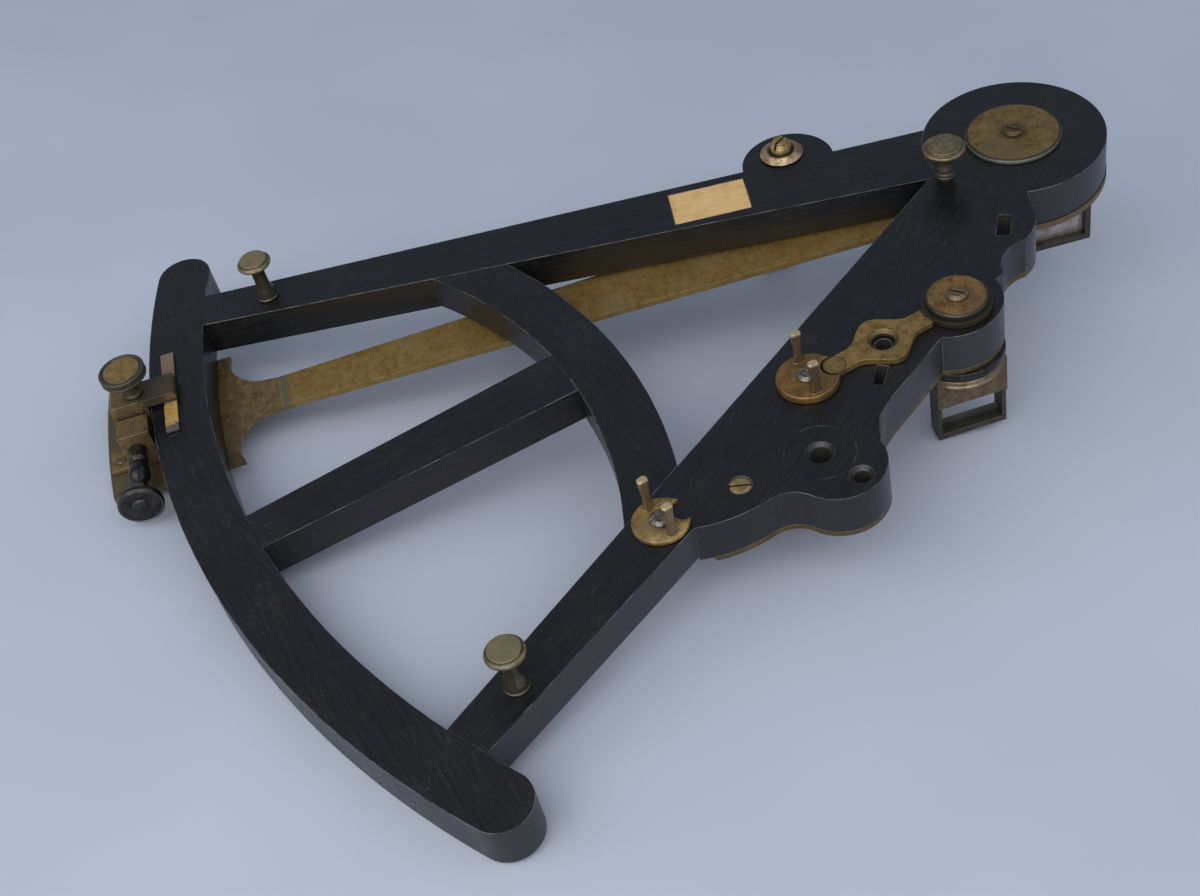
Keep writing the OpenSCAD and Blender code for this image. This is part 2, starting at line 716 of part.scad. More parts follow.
module right_radius() {
    laid() color(ebony) difference() {
        union() {
            slab(0, limb_t) lobes_outline();
            slab(0, bar_t) right_bar_outline();
        }
        rod(axis_r + bush_wall + fit, -limb_t - 1, 1);
        slab(1, limb_t + 2) mortise(shade_slot_at, shade_slot_l, shade_slot_w, shade_slot_turn);
        slab(1, limb_t + 2) mortise(low_slot_at, low_slot_l, low_slot_w, low_slot_turn);
        flared_hole(back_axis_at, back_axis_r);
        flared_hole(back_peg_at, back_peg_r);
        translate(horizon_at) rod(horizon_axis_r + fit, -limb_t - 1, 1);
        translate(mirror_wing_at) rod(wing_screw_r * shank_share + fit, -limb_t / 2 - fit, 1);
        translate(back_wing_at) rod(wing_screw_r * shank_share + fit, -limb_t / 2 - fit, 1);
        translate(lever_hole_at) rod(lever_hole_r * 0.7, -limb_t / 2, 1);
        translate(lining_screw_at) {
            rod(lining_screw_r + fit, -lining_screw_r * 0.5, 1);
            rod(lining_screw_r * shank_share + fit, -limb_t - 1, 1);
        }
        translate(foot_apex_at) rod(foot_pin_r + fit, -foot_pin_l - fit, 1);
        translate(foot_right_at) rod(foot_pin_r + fit, -foot_pin_l - fit, 1);
    }
}

module cross_brace() {
    laid() color(ebony) difference() {
        slab(0, bar_t) brace_outline();
        strut_tenons(glue);
    }
}

module centre_strut() {
    laid() color(ebony) {
        slab(0, bar_t) strut_outline();
        strut_tenons(0);
    }
}

module limb_scale() {
    laid() color(ivory) slab(-limb_t + scale_t, scale_t)
        sector(scale_in, scale_out, scale_half_deg, -scale_half_deg);
}

module name_plate() {
    laid() color(ivory) translate(plaque_at) rotate(plaque_turn) slab(0, plaque_t)
        square([plaque_w, plaque_l], center = true);
}

// The lining leaves the arm free to swing to its right stop
module lining_plate() {
    far = limb_r;
    laid() color(brass) slab(-limb_t, lining_t) difference() {
        lobes_outline();
        circle(arm_head_r + pass);
        rotate(-arm_right_stop) polygon([[-far, boss_r], [arm_half(0) + pass, boss_r],
            [arm_half(0) + pass, 0], [arm_half(arm_joint_r) + pass, -arm_joint_r], [-far, -arm_joint_r]]);
        translate([0, -knee_y - 1]) square([far, lining_short + 1]);
        translate(horizon_at) circle(horizon_axis_r + run);
        translate(back_axis_at) circle(back_axis_r + run);
        translate(back_peg_at) circle(back_peg_r + run);
        translate(lining_screw_at) circle(lining_screw_r * shank_share + fit);
        mortise(shade_slot_at, shade_slot_l, shade_slot_w, shade_slot_turn);
        mortise(low_slot_at, low_slot_l, low_slot_w, low_slot_turn);
    }
}

module lining_screw() {
    sunk = lining_screw_r * 0.5;
    laid() color(brass) translate(concat(lining_screw_at, [-sunk]))
        slotted_screw(lining_screw_r, sunk, limb_t + lining_t - sunk, 60, 0.8);
}

module index_bush() {
    laid() color(brass) difference() {
        rod(axis_r + bush_wall, -limb_t, 0);
        rod(axis_r + fit, -limb_t - 1, 1);
    }
}

// The head of a turned foot, from its underside up: a rim, a groove and a flat disc
function foot_head(h, head_r) = [[head_r * 0.88, h * 0.83], [head_r, h * 0.86], [head_r, h * 0.91],
    [head_r * 0.93, h * 0.95], [head_r * 0.84, h * 0.95], [head_r * 0.8, h], [0, h]];

// A turned foot, from its pin up: the stem's profile, then the head
module foot(at, h, head_r, stem) {
    laid() color(old_brass) translate(at) rotate_extrude() polygon(concat(
        [[0, -foot_pin_l], [foot_pin_r, -foot_pin_l], [foot_pin_r, 0]], stem, foot_head(h, head_r)));
}

// A trumpet: the stem flares down to a round base and up to the head
function trumpet_stem(h, head_r) = concat([[foot_base_r, 0], [foot_base_r, h * 0.04]],
    flare(foot_base_r * 0.96, h * 0.05, foot_neck_r, h * 0.42),
    flare(foot_neck_r, h * 0.6, head_r * 0.5, h * 0.82));

// A baluster: the stem swells from a small base to two rings, then tapers up to the head
function baluster_stem(h, head_r) = concat(
    flare(foot_base_r * 0.6, 0, foot_base_r * 0.92, h * 0.17),
    [[foot_base_r * 0.92, h * 0.22], [foot_base_r * 0.82, h * 0.24], [foot_base_r * 0.92, h * 0.26]],
    flare(foot_base_r * 0.92, h * 0.31, foot_neck_r, h * 0.55),
    flare(foot_neck_r, h * 0.64, head_r * 0.5, h * 0.82));

module foot_apex() {
    foot(foot_apex_at, apex_foot_h, apex_head_r, baluster_stem(apex_foot_h, apex_head_r));
}

module foot_left() {
    foot(foot_left_at, foot_h, foot_head_r, trumpet_stem(foot_h, foot_head_r));
}

module foot_right() {
    foot(foot_right_at, foot_h, foot_head_r, trumpet_stem(foot_h, foot_head_r));
}

// Sight vane: an upright plate at the outer end of its base, with two pinholes along the line of sight
module sight_vane() {
    base_low = -bar_t - vane_base_t;
    hole_z = (horizon_top + horizon_low) / 2;
    far = -vane_out - vane_t / 2;
    laid() color(brass) translate([vane_x, vane_y]) difference() {
        union() {
            rod(vane_stem_r, -bar_t, 0);
            slab(-bar_t, vane_base_t) hull() {
                circle(vane_base_r);
                translate([far, -vane_w / 2]) square([vane_t, vane_w]);
            }
            block([far, -vane_w / 2, -vane_depth], [far + vane_t, vane_w / 2, base_low]);
        }
        for (s = [-1, 1])
            translate([far - 1, 0, hole_z + s * pinhole_gap / 2]) rotate([0, 90, 0])
                cylinder(r = pinhole_r, h = vane_t + 2);
        rod(vane_nut_r * shank_share + fit, -bar_t / 2 - fit, 1);
    }
}

module vane_washer() {
    rim = washer_h * 0.3;
    bore = vane_nut_r * shank_share + fit;
    laid() color(old_brass) translate([vane_x, vane_y]) rotate_extrude() polygon([
        [bore, 0], [washer_r * 0.94, 0], [washer_r, rim], [washer_r * 0.74, washer_h],
        [washer_r * 0.66, washer_h], [vane_nut_r + glue, washer_seat], [bore, washer_seat]]);
}

module vane_nut() {
    laid() color(old_brass) translate([vane_x, vane_y, washer_seat])
        slotted_screw(vane_nut_r, vane_nut_h, washer_seat + bar_t / 2, 110);
}

// Index arm

module index_arm() {
    laid() on_arm() color(brass) slab(arm_top, arm_t) difference() {
        union() {
            circle(arm_head_r);
            polygon([[-arm_half(0), 0], [-arm_half(arm_joint_r), -arm_joint_r],
                [arm_half(arm_joint_r), -arm_joint_r], [arm_half(0), 0]]);
        }
        circle(rivet_r + fit);
    }
}

// Shoulders with hollow corners grow out of the arm's width and carry the plate under the limb
module index_end_plate() {
    half = arm_half(arm_joint_r) + 0.5;
    laid() on_arm() color(brass) slab(arm_top, arm_t) difference() {
        union() {
            intersection() {
                sector(plate_in_r, plate_out, arm_rest, -arm_rest);
                translate([-plate_left_w, -plate_out]) square([plate_left_w + plate_right_w, plate_out]);
            }
            polygon([[-arm_half(arm_joint_r), -arm_joint_r], [-half, -plate_in_r + plate_hollow_r],
                [-half, -plate_in_r - scale_margin], [half, -plate_in_r - scale_margin],
                [half, -plate_in_r + plate_hollow_r], [arm_half(arm_joint_r), -arm_joint_r]]);
            translate([-half - plate_hollow_r, -plate_in_r - scale_margin])
                square([(half + plate_hollow_r) * 2, plate_hollow_r + scale_margin]);
        }
        for (s = [-1, 1])
            translate([s * (half + plate_hollow_r), -plate_in_r + plate_hollow_r]) circle(plate_hollow_r);
        sector(scale_in, scale_out + vernier_w, window_half_deg, -window_half_deg);
    }
}

module vernier() {
    half_deg = window_half_deg - slack_deg;
    laid() on_arm() color(ivory) slab(arm_top, arm_t / 2)
        sector(scale_out + glue, scale_out + vernier_w - glue, half_deg, -half_deg);
}

// The spindle turns in the bush; its lower end is riveted in the arm
module index_axis() {
    laid() color(steel) difference() {
        union() {
            rod(axis_r, arm_top, run);
            rod(rivet_r, arm_low, arm_top);
        }
        rod(axis_screw_r * shank_share + fit, -limb_t / 2 - fit, run + 1);
    }
}

module axis_disc() {
    edge = axis_disc_t * 0.3;
    laid() color(brass) difference() {
        translate([0, 0, run]) rotate_extrude() polygon([[0, 0], [axis_disc_r, 0],
            [axis_disc_r, axis_disc_t - edge], [axis_disc_r - edge, axis_disc_t], [0, axis_disc_t]]);
        rod(axis_screw_r * shank_share + fit, run - 1, run + axis_disc_t + 1);
    }
}

module axis_screw() {
    laid() color(brass) translate([0, 0, run + axis_disc_t])
        slotted_screw(axis_screw_r, axis_screw_h, axis_disc_t + run + limb_t / 2, 30);
}

// Index mirror: its tray stands on a foot that is screwed to the arm's head, behind the glass

module index_mirror_foot() {
    laid() on_mirror() color(brass) difference() {
        slab(arm_low, mirror_foot_t) translate([-mirror_l / 3, -mirror_d / 2])
            square([mirror_l * 2 / 3, mirror_d + mirror_foot_reach]);
        for (s = [-1, 1])
            translate([s * mirror_l / 4, mirror_d / 2 + mirror_foot_reach / 2])
                rod(mirror_screw_r * shank_share + fit, foot_low - 1, arm_low + 1);
    }
}

module index_mirror_tray() {
    half = mirror_l / 2;
    front = -mirror_d / 2;
    back = mirror_d / 2;
    seat_y = back - mirror_wall - mirror_glass_t - glue * 2;
    laid() on_mirror() color(dark_bronze) difference() {
        block([-half, front, mirror_low], [half, back, foot_low]);
        block([-half + mirror_wall, seat_y, mirror_low + mirror_wall],
            [half - mirror_wall, back - mirror_wall, foot_low - mirror_wall]);
        block([-half + mirror_wall + mirror_lip, front - 1, mirror_low + mirror_wall + mirror_lip],
            [half - mirror_wall - mirror_lip, seat_y + 1, foot_low - mirror_wall - mirror_lip]);
    }
}

module index_mirror_glass() {
    half = mirror_l / 2 - mirror_wall - glue;
    back = mirror_d / 2 - mirror_wall - glue;
    laid() on_mirror() color(silvering) block([-half, back - mirror_glass_t, mirror_low + mirror_wall + glue],
        [half, back, foot_low - mirror_wall - glue]);
}

module index_mirror_screws() {
    laid() on_mirror() color(brass) for (s = [-1, 1])
        translate([s * mirror_l / 4, mirror_d / 2 + mirror_foot_reach / 2, foot_low]) mirror([0, 0, 1])
            slotted_screw(mirror_screw_r, mirror_screw_r * 0.6, mirror_foot_t, 20);
}

// Clamp and tangent screw

module clamp_block() {
    low = arm_top + run;
    inner = limb_r - clamp_reach;
    outer = limb_r + clamp_out;
    left = clamp_u - clamp_w / 2;
    bevel = clamp_bar_t / 4;
    laid() on_arm() color(old_brass) difference() {
        translate([left, 0, 0]) rotate([90, 0, 90]) linear_extrude(clamp_w) polygon([
            [-inner, spring_top], [-inner, clamp_top - bevel], [-inner - bevel, clamp_top],
            [-outer + bevel, clamp_top], [-outer, clamp_top - bevel], [-outer, low],
            [-limb_r - run * 2, low], [-limb_r - run * 2, spring_top]]);
        translate([clamp_u, -clamp_v]) rod(clamp_shank_r + fit, -clamp_shank_l - fit, clamp_top + 1);
        translate([left + 3 - fit, -tangent_v, -tangent_depth]) rotate([0, 90, 0])
            cylinder(r = spigot_r + fit, h = clamp_w);
    }
}

module clamp_spring() {
    laid() on_arm() color(copper) slab(spring_top, spring_t)
        translate([clamp_u - spring_l / 2, -spring_v - spring_w]) square([spring_l, spring_w]);
}

module clamp_screw() {
    head_low = clamp_stem_h;
    edge = clamp_head_t * 0.2;
    end = -clamp_top - clamp_shank_l;
    collar_r = clamp_stem_r + 0.8;
    top = head_low + clamp_head_t;
    laid() on_arm() color(old_brass) translate([clamp_u, -clamp_v, clamp_top]) rotate_extrude()
        polygon(concat(
            [[0, end], [clamp_shank_r, end], [clamp_shank_r, 0], [collar_r, 0]],
            flare(collar_r, head_low * 0.15, clamp_stem_r, head_low * 0.45, 4),
            flare(clamp_stem_r, head_low * 0.6, clamp_head_r * 0.6, head_low, 4),
            [[clamp_head_r - edge, head_low], [clamp_head_r, head_low + edge],
            [clamp_head_r, top - edge], [clamp_head_r - edge, top], [0, top]]));
}

module tangent_block() {
    right = block_u + block_w;
    outer = block_v + block_d;
    laid() on_arm() color(old_brass) difference() {
        union() {
            block([block_u, -outer, arm_top], [right, -block_v, 0]);
            block([block_u, -outer - flange_l, arm_top], [right, -outer, arm_top + flange_t]);
        }
        translate([block_u - 1, -tangent_v, -tangent_depth]) rotate([0, 90, 0])
            cylinder(r = rod_r + fit, h = block_w + 2);
        translate([block_u + block_w / 2, -outer - flange_l / 2])
            rod(flange_screw_r * shank_share + fit, arm_top - 1, arm_top + flange_t + 1);
    }
}

module tangent_block_screw() {
    laid() on_arm() color(old_brass)
        translate([block_u + block_w / 2, -block_v - block_d - flange_l / 2, arm_top + flange_t])
            slotted_screw(flange_screw_r, flange_screw_r * 0.3, flange_t, 35);
}

// A turned spindle: spigot, rod, vase-shaped stem, collar, flat head and button
module tangent_screw() {
    start = clamp_u + clamp_w / 2 - spigot_l;
    shoulder = block_u - block_gap / 2;
    swell = stem_u + stem_l * 0.3;
    neck = stem_u + stem_l * 0.58;
    edge = tangent_head_t * 0.18;
    tail = head_u + tangent_head_t;
    button = tail + 0.6;
    bead_r = rod_r + 0.6;
    bead_end = stem_u + 1.5;
    collar_r = rod_r + 0.4;
    profile = concat(
        [[0, start], [spigot_r, start], [spigot_r, shoulder], [rod_r, shoulder], [rod_r, stem_u]],
        [[bead_r, stem_u], [bead_r, bead_end]],
        flare(rod_r * 0.9, bead_end, stem_r, swell),
        flare(stem_r, swell + 1, rod_r * 0.8, neck),
        [[collar_r, neck + 0.5], [collar_r, head_u]],
        [[tangent_head_r - edge, head_u], [tangent_head_r, head_u + edge], [tangent_head_r, tail - edge]],
        [[tangent_head_r - edge, tail], [rod_r, tail], [rod_r, button], [0, button]]);
    laid() on_arm() color(steel) translate([0, -tangent_v, -tangent_depth]) rotate([0, 90, 0])
        rotate_extrude() polygon(profile);
}

// Horizon mirror

module horizon_lever() {
    steps = 40;
    sink = lever_t / 2;
    side = [for (i = [0 : steps]) let (s = lever_l * i / steps) [lever_half(s), -s]];
    other = [for (i = [steps : -1 : 0]) [-side[i].x, side[i].y]];
    laid() color(brass) translate(horizon_at) difference() {
        union() {
            rod(lever_head_r, run, lever_top);
            slab(lever_top, lever_t) polygon(concat(side, other));
            translate([0, -lever_l]) rod(lever_tip_r, run, lever_top);
        }
        rod(horizon_axis_r + fit, run - 1, lever_top + 1);
        translate([0, -lever_swell_at]) {
            rod(lever_hole_r, run - 1, lever_top + 1);
            translate([0, 0, lever_top - sink])
                cylinder(r1 = lever_hole_r, r2 = lever_hole_r + sink, h = sink);
        }
    }
}

module horizon_cap() {
    edge = cap_t * 0.25;
    laid() color(brass) translate(horizon_at) difference() {
        translate([0, 0, lever_top]) rotate_extrude() polygon([[0, 0], [cap_r, 0], [cap_r, cap_t - edge],
            [cap_r - edge, cap_t], [0, cap_t]]);
        rod(cap_screw_r * shank_share + fit, lever_top - 1, lever_top + cap_t + 1);
    }
}

module horizon_cap_screw() {
    laid() color(brass) translate(concat(horizon_at, [lever_top + cap_t]))
        slotted_screw(cap_screw_r, cap_screw_h, cap_t + lever_t + limb_t / 2, 35);
}

module horizon_axis() {
    laid() color(steel) translate(horizon_at) difference() {
        rod(horizon_axis_r, seat_top, lever_top);
        rod(cap_screw_r * shank_share + fit, run - limb_t / 2 - fit, lever_top + 1);
    }
}

module horizon_seat() {
    laid() color(dark_bronze) translate(horizon_at) rod(horizon_seat_r, ring_top, seat_top);
}

module horizon_ring() {
    edge = horizon_ring_t * 0.25;
    laid() color(brass) translate(horizon_at) translate([0, 0, horizon_top]) rotate_extrude()
        polygon([[0, 0], [horizon_ring_r - edge, 0], [horizon_ring_r, edge], [horizon_ring_r, horizon_ring_t],
            [0, horizon_ring_t]]);
}

// The pane sits in a groove near the frame's far side; the shield closes the near side over its silvered part
pane_back = horizon_d / 2 - horizon_wall / 2;
pane_y = pane_back - horizon_glass_t;
pane_half = horizon_w / 2 - horizon_stile / 2;
pane_low = horizon_low + horizon_wall / 2;
pane_top = horizon_top - horizon_wall / 2;
pane_split = horizon_low + clear_h;

module horizon_frame() {
    half = horizon_w / 2;
    deep = horizon_d / 2;
    laid() on_horizon() color(dark_bronze) difference() {
        block([-half, -deep, horizon_low], [half, deep, horizon_top]);
        block([-half + horizon_stile, -deep - 1, horizon_low + horizon_wall],
            [half - horizon_stile, deep + 1, horizon_top - horizon_wall]);
        block([-pane_half - glue, pane_y - glue, pane_low - glue],
            [pane_half + glue, pane_back + glue, pane_top + glue]);
    }
}

module horizon_shield() {
    half = horizon_w / 2;
    near = -horizon_d / 2 - glue;
    laid() on_horizon() color(brass) block([-half, near - shield_t, pane_split],
        [half, near, horizon_top - glue]);
}

module horizon_mirror() {
    laid() on_horizon() color(silvering) block([-pane_half, pane_y, pane_split + glue],
        [pane_half, pane_back, pane_top]);
}

module horizon_glass() {
    laid() on_horizon() color(glass) block([-pane_half, pane_y, pane_low],
        [pane_half, pane_back, pane_split]);
}

// Adjusting discs: each has two pegs for the fingers and a round notch for a lever's tip

module wing(at, r, t, notch_turn, peg_line) {
    top = run + t;
    laid() color(brass) translate(at) {
        difference() {
            rod(r, run, top);
            rod(wing_screw_r * shank_share + fit, run - 1, top + 1);
            rotate(notch_turn) translate([0, r - wing_lip]) rod(notch_r, run - 1, top + 1);
        }
        for (s = [-1, 1])
            rotate(peg_line) translate([s * r * peg_share, 0]) rotate_extrude() polygon([
                [0, run], [peg_r, run], [peg_r, top + peg_h - peg_r * 0.5],
                [peg_r * 0.6, top + peg_h], [0, top + peg_h]]);
    }
}

module wing_screw(at, t, slot_turn) {
    top = run + t;
    laid() color(steel) translate(concat(at, [top + fit * 2]))
        slotted_screw(wing_screw_r, wing_screw_h, top + limb_t / 2, slot_turn);
}

module mirror_wing() {
    wing(mirror_wing_at, wing_r, wing_t, wing_turn, peg_turn);
}

module mirror_wing_screw() {
    wing_screw(mirror_wing_at, wing_t, 20);
}

module back_wing() {
    wing(back_wing_at, back_wing_r, back_wing_t, back_wing_turn, back_peg_turn);
}

module back_wing_screw() {
    wing_screw(back_wing_at, back_wing_t, 80);
}

limb();
left_radius();
right_radius();
cross_brace();
centre_strut();
limb_scale();
name_plate();
lining_plate();
lining_screw();
index_bush();
foot_apex();
foot_left();
foot_right();
sight_vane();
vane_washer();
vane_nut();
index_arm();
index_end_plate();
vernier();
index_axis();
axis_disc();
axis_screw();
index_mirror_foot();
index_mirror_tray();
index_mirror_glass();
index_mirror_screws();
clamp_block();
clamp_spring();
clamp_screw();
tangent_block();
tangent_block_screw();
tangent_screw();
horizon_lever();
horizon_cap();
horizon_cap_screw();
horizon_axis();
horizon_seat();
horizon_ring();
horizon_frame();
horizon_shield();
horizon_mirror();
horizon_glass();
mirror_wing();
mirror_wing_screw();
back_wing();
back_wing_screw();
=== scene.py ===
# %% [markdown]
# # An ebony octant, lying face down
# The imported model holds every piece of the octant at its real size. This lesson dresses it: old ebony,
# lacquered brass, ivory, glass and steel, a few turned pieces with finer detail than the model carries,
# and the table, light and camera of a plain studio picture.

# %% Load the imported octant
import json
from collections import namedtuple

import bpy
import numpy as np
from mathutils import Matrix, Quaternion, Vector


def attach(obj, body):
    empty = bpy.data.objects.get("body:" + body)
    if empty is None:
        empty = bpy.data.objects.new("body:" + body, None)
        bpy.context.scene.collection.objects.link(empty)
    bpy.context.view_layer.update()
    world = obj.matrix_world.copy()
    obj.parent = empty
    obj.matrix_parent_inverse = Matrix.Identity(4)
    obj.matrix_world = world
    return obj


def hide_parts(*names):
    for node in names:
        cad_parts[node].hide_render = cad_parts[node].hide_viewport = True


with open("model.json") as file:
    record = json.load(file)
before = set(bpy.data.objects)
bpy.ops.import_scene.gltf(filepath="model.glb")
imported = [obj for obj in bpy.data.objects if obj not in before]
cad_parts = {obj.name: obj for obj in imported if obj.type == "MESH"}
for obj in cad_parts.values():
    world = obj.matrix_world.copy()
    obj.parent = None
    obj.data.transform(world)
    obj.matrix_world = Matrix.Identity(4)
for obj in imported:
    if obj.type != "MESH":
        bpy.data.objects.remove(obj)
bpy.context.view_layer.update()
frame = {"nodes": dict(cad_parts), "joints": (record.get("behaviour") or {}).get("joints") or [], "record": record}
nodes = frame["nodes"]
joints = {joint["name"]: joint for joint in frame["joints"]}
mounts = {mount["name"]: mount for mount in frame["record"]["mounts"]}

# %% [markdown]
# ## The drawing board's frame
# The octant leans on its mirrors, so nothing on it is level. Its maker drew it flat: pivot at the origin,
# limb towards -Y, back of the frame at Z = 0. The swing joint of the index arm gives that flat frame back:
# its place is the pivot and its axis is the normal of the frame's back. X is level, because the octant
# was tipped about X first. Sizes in this lesson are millimetres in that frame.

# %% Flat frame from the swing joint
MM = 0.001


def unit(vector):
    """The vector divided by its length."""
    vector = np.asarray(vector, float)
    return vector / np.linalg.norm(vector)


pivot = np.array(joints["arm_swing"]["pos_m"])
up = unit(joints["arm_swing"]["axis"])
across = unit(np.cross((0.0, 1.0, 0.0), up))
flat_axes = np.stack([across, np.cross(up, across), up])


def to_flat(place):
    """Flat millimetres of a place in the row frame: the offset from the pivot along each axis."""
    return flat_axes @ (np.asarray(place) - pivot) / MM


def from_flat(points):
    """Row frame places of flat millimetres: the pivot plus each axis times its coordinate."""
    return pivot + np.asarray(points, float) @ flat_axes * MM


def corners(name, axes=flat_axes):
    """All corners of a node in millimetres along three axes from the pivot."""
    mesh = nodes[name].data
    places = np.empty(len(mesh.vertices) * 3)
    mesh.vertices.foreach_get("co", places)
    return (places.reshape(-1, 3) - pivot) @ axes.T / MM


screw_line = unit(joints["clamp_slide"]["axis"])
arm_turn = np.arctan2(*(flat_axes @ screw_line)[1::-1])
print("arm at rest turned", round(float(np.degrees(arm_turn)), 2), "degrees")

# %% [markdown]
# ## Camera
# The picture was taken from the right-hand side, a little over half a metre away, with a normal lens.
# A camera that aims along its own -Z is turned towards one point of the table, then rolled about its
# own line of sight, because it was held slightly tilted. Its places are metres in the row frame.

# %% Camera at the photograph's place
CAMERA_AT = Vector((0.4141, -0.2205, 0.3672))
CAMERA_AIM = Vector((0.0004, -0.0239, 0.0))
CAMERA_ROLL = np.radians(3.977)
CAMERA_LENS = 50.82
CAMERA_NEAR = 0.01

camera_data = bpy.data.cameras.new("camera")
camera_data.lens = CAMERA_LENS
camera_data.clip_start = CAMERA_NEAR
camera = bpy.data.objects.new("camera", camera_data)
aim = (CAMERA_AIM - CAMERA_AT).to_track_quat("-Z", "Y")
camera.rotation_mode = "QUATERNION"
camera.rotation_quaternion = aim @ Quaternion((0.0, 0.0, 1.0), -CAMERA_ROLL)
camera.location = CAMERA_AT
bpy.context.scene.collection.objects.link(camera)
bpy.context.scene.camera = camera
bpy.context.scene.view_settings.view_transform = "Standard"
print("camera", round((CAMERA_AIM - CAMERA_AT).length, 3), "m from its aim")

# %% [markdown]
# ## A kit for finishes
# A finish is a small graph of shader nodes. Written out in full, every node takes four lines, so a short
# class does the wiring: each method adds one node and hands back its output, and an argument may be a
# number, a colour or another output. Masks are numbers from 0 to 1, put together by plain arithmetic.

# %% Wiring
class Wiring:
    """A material under construction."""

    def __init__(self, name):
        self.material = bpy.data.materials.new(name)
        self.material.use_nodes = True
        self.tree = self.material.node_tree
        self.tree.nodes.clear()

    def node(self, kind, inputs=(), out=0, **settings):
        """One node of that kind; inputs maps its sockets to values or to other outputs."""
        made = self.tree.nodes.new("ShaderNode" + kind)
        for key, value in settings.items():
            setattr(made, key, value)
        for key, value in dict(inputs).items():
            socket = made.inputs[key]
            if isinstance(value, bpy.types.NodeSocket):
                self.tree.links.new(value, socket)
            else:
                socket.default_value = value
        return made.outputs[out] if made.outputs else None

    def math(self, operation, a, b=0.0):
        """One or two numbers put through a Math operation."""
        return self.node("Math", {0: a, 1: b}, operation=operation)

    def add(self, a, b):
        """The sum of two numbers."""
        return self.math("ADD", a, b)

    def times(self, a, b):
        """The product of two numbers: for two masks, where both hold."""
        return self.math("MULTIPLY", a, b)

    def ramp(self, value, low, high, start=0.0, end=1.0):
        """A smooth step from start to end while the value goes from low to high."""
        span = {"Value": value, "From Min": low, "From Max": high, "To Min": start, "To Max": end}
        return self.node("MapRange", span, interpolation_type="SMOOTHSTEP")

    def blend(self, share, a, b):
        """A colour that goes from a to b as the share goes from 0 to 1. Sockets 6 and 7 take the colours."""
        return self.node("Mix", {0: share, 6: a, 7: b}, out=2, data_type="RGBA")

    def coat(self, colour, *coats):
        """A colour under coats of (mask, strength, shade): each covers it by mask times strength."""
        for mask, strength, shade in coats:
            colour = self.blend(self.times(mask, strength), colour, shade)
        return colour

    def surface(self, **inputs):
        """Ends the finish in a Principled surface; argument names use _ for a space."""
        values = {key.replace("_", " "): value for key, value in inputs.items()}
        bsdf = self.node("BsdfPrincipled", values)
        self.node("OutputMaterial", {"Surface": bsdf})
        return self.material


print("wiring ready")

# %% [markdown]
# ## Patterns in millimetres
# Patterns come from noise, and noise is read at a place. One Mapping node turns Object coordinates into
# millimetres of the flat frame, so a speck of 0.5 is half a millimetre wide on every piece, and the grain
# can be turned along a board. Worn edges need no painting: the Bevel node rounds the normal off near an
# edge, and where the rounded normal leaves the piece's own, there is an edge.

# %% A finish with patterns and edges
RAYS = 6
ALIKE_ON_FACE, ALIKE_AT_EDGE = 0.995, 0.8


class Finish(Wiring):
    """Wiring with patterns that are measured in flat millimetres."""

    def place(self, turn=0.0, centre=(0.0, 0.0)):
        """Millimetres of the flat frame, from a centre, with X turned by an angle about the normal."""
        spin = np.array(Matrix.Rotation(-turn, 3, "Z")) @ flat_axes
        start = spin @ (pivot + np.array([*centre, 0.0]) @ flat_axes * MM) / MM
        return self.node("Mapping", {
            "Vector": self.node("TexCoord", out="Object"), "Location": -start,
            "Rotation": Matrix(spin).to_euler(), "Scale": (1 / MM,) * 3})

    def stretch(self, vector, lengths):
        """The vector with each axis divided by a length, which makes noise of size 1 that long there."""
        shares = [1 / length for length in lengths]
        return self.node("VectorMath", {0: vector, 1: shares}, operation="MULTIPLY")

    def noise(self, vector, size=1.0, detail=3.0, rough=0.55):
        """Cloudy noise from 0 to 1 with features of a size."""
        return self.node("TexNoise", {
            "Vector": vector, "Scale": 1 / size, "Detail": detail, "Roughness": rough})

    def axis(self, vector, name):
        """One coordinate of a placed vector."""
        return self.node("SeparateXYZ", {0: vector}, out=name)

    def radius(self, vector):
        """Distance from the Z axis of a placed vector."""
        plan = self.node("VectorMath", {0: vector, 1: (1.0, 1.0, 0.0)}, operation="MULTIPLY")
        return self.node("VectorMath", {0: plan}, out="Value", operation="LENGTH")

    def polar(self, vector):
        """Radius of a placed vector, and its angle in degrees from the -Y direction."""
        angle = self.math("ARCTAN2", self.axis(vector, "X"), self.times(self.axis(vector, "Y"), -1.0))
        return self.radius(vector), self.times(angle, 180 / np.pi)

    def own_normal(self):
        """The normal of the piece."""
        return self.node("NewGeometry", out="Normal")

    def alike(self, a, b):
        """Cosine of the angle between two directions."""
        return self.node("VectorMath", {0: a, 1: b}, out="Value", operation="DOT_PRODUCT")

    def soft_edges(self, reach):
        """The normal of the piece with its edges rounded off over a reach in millimetres."""
        return self.node("Bevel", {"Radius": reach * MM}, samples=RAYS)

    def edge_mask(self, rounded):
        """1 along the edges and 0 on the faces: how far the rounded normal leaves the piece's own."""
        return self.ramp(self.alike(rounded, self.own_normal()), ALIKE_ON_FACE, ALIKE_AT_EDGE)

    def bump(self, height, depth, normal):
        """The normal tilted by a height map of a depth in millimetres."""
        return self.node("Bump", {
            "Height": height, "Distance": depth * MM, "Strength": 1.0, "Normal": normal})


print("patterns ready, edges found with", RAYS, "rays")

# %% [markdown]
# ## Colours and dressing
# Colours in this lesson are written as a screen shows them, from 0 to 255, because that is how the eye judges
# them. Shaders count light instead, so each is put through the display curve first. A finish is given to
# as many nodes as share it.

# %% Tints and dressing
def tint(red, green, blue):
    """A linear colour from 0 to 255 display values, by the usual display curve."""
    share = np.array([red, green, blue]) / 255
    linear = np.where(share > 0.04045, ((share + 0.055) / 1.055) ** 2.4, share / 12.92)
    return (*linear.tolist(), 1.0)


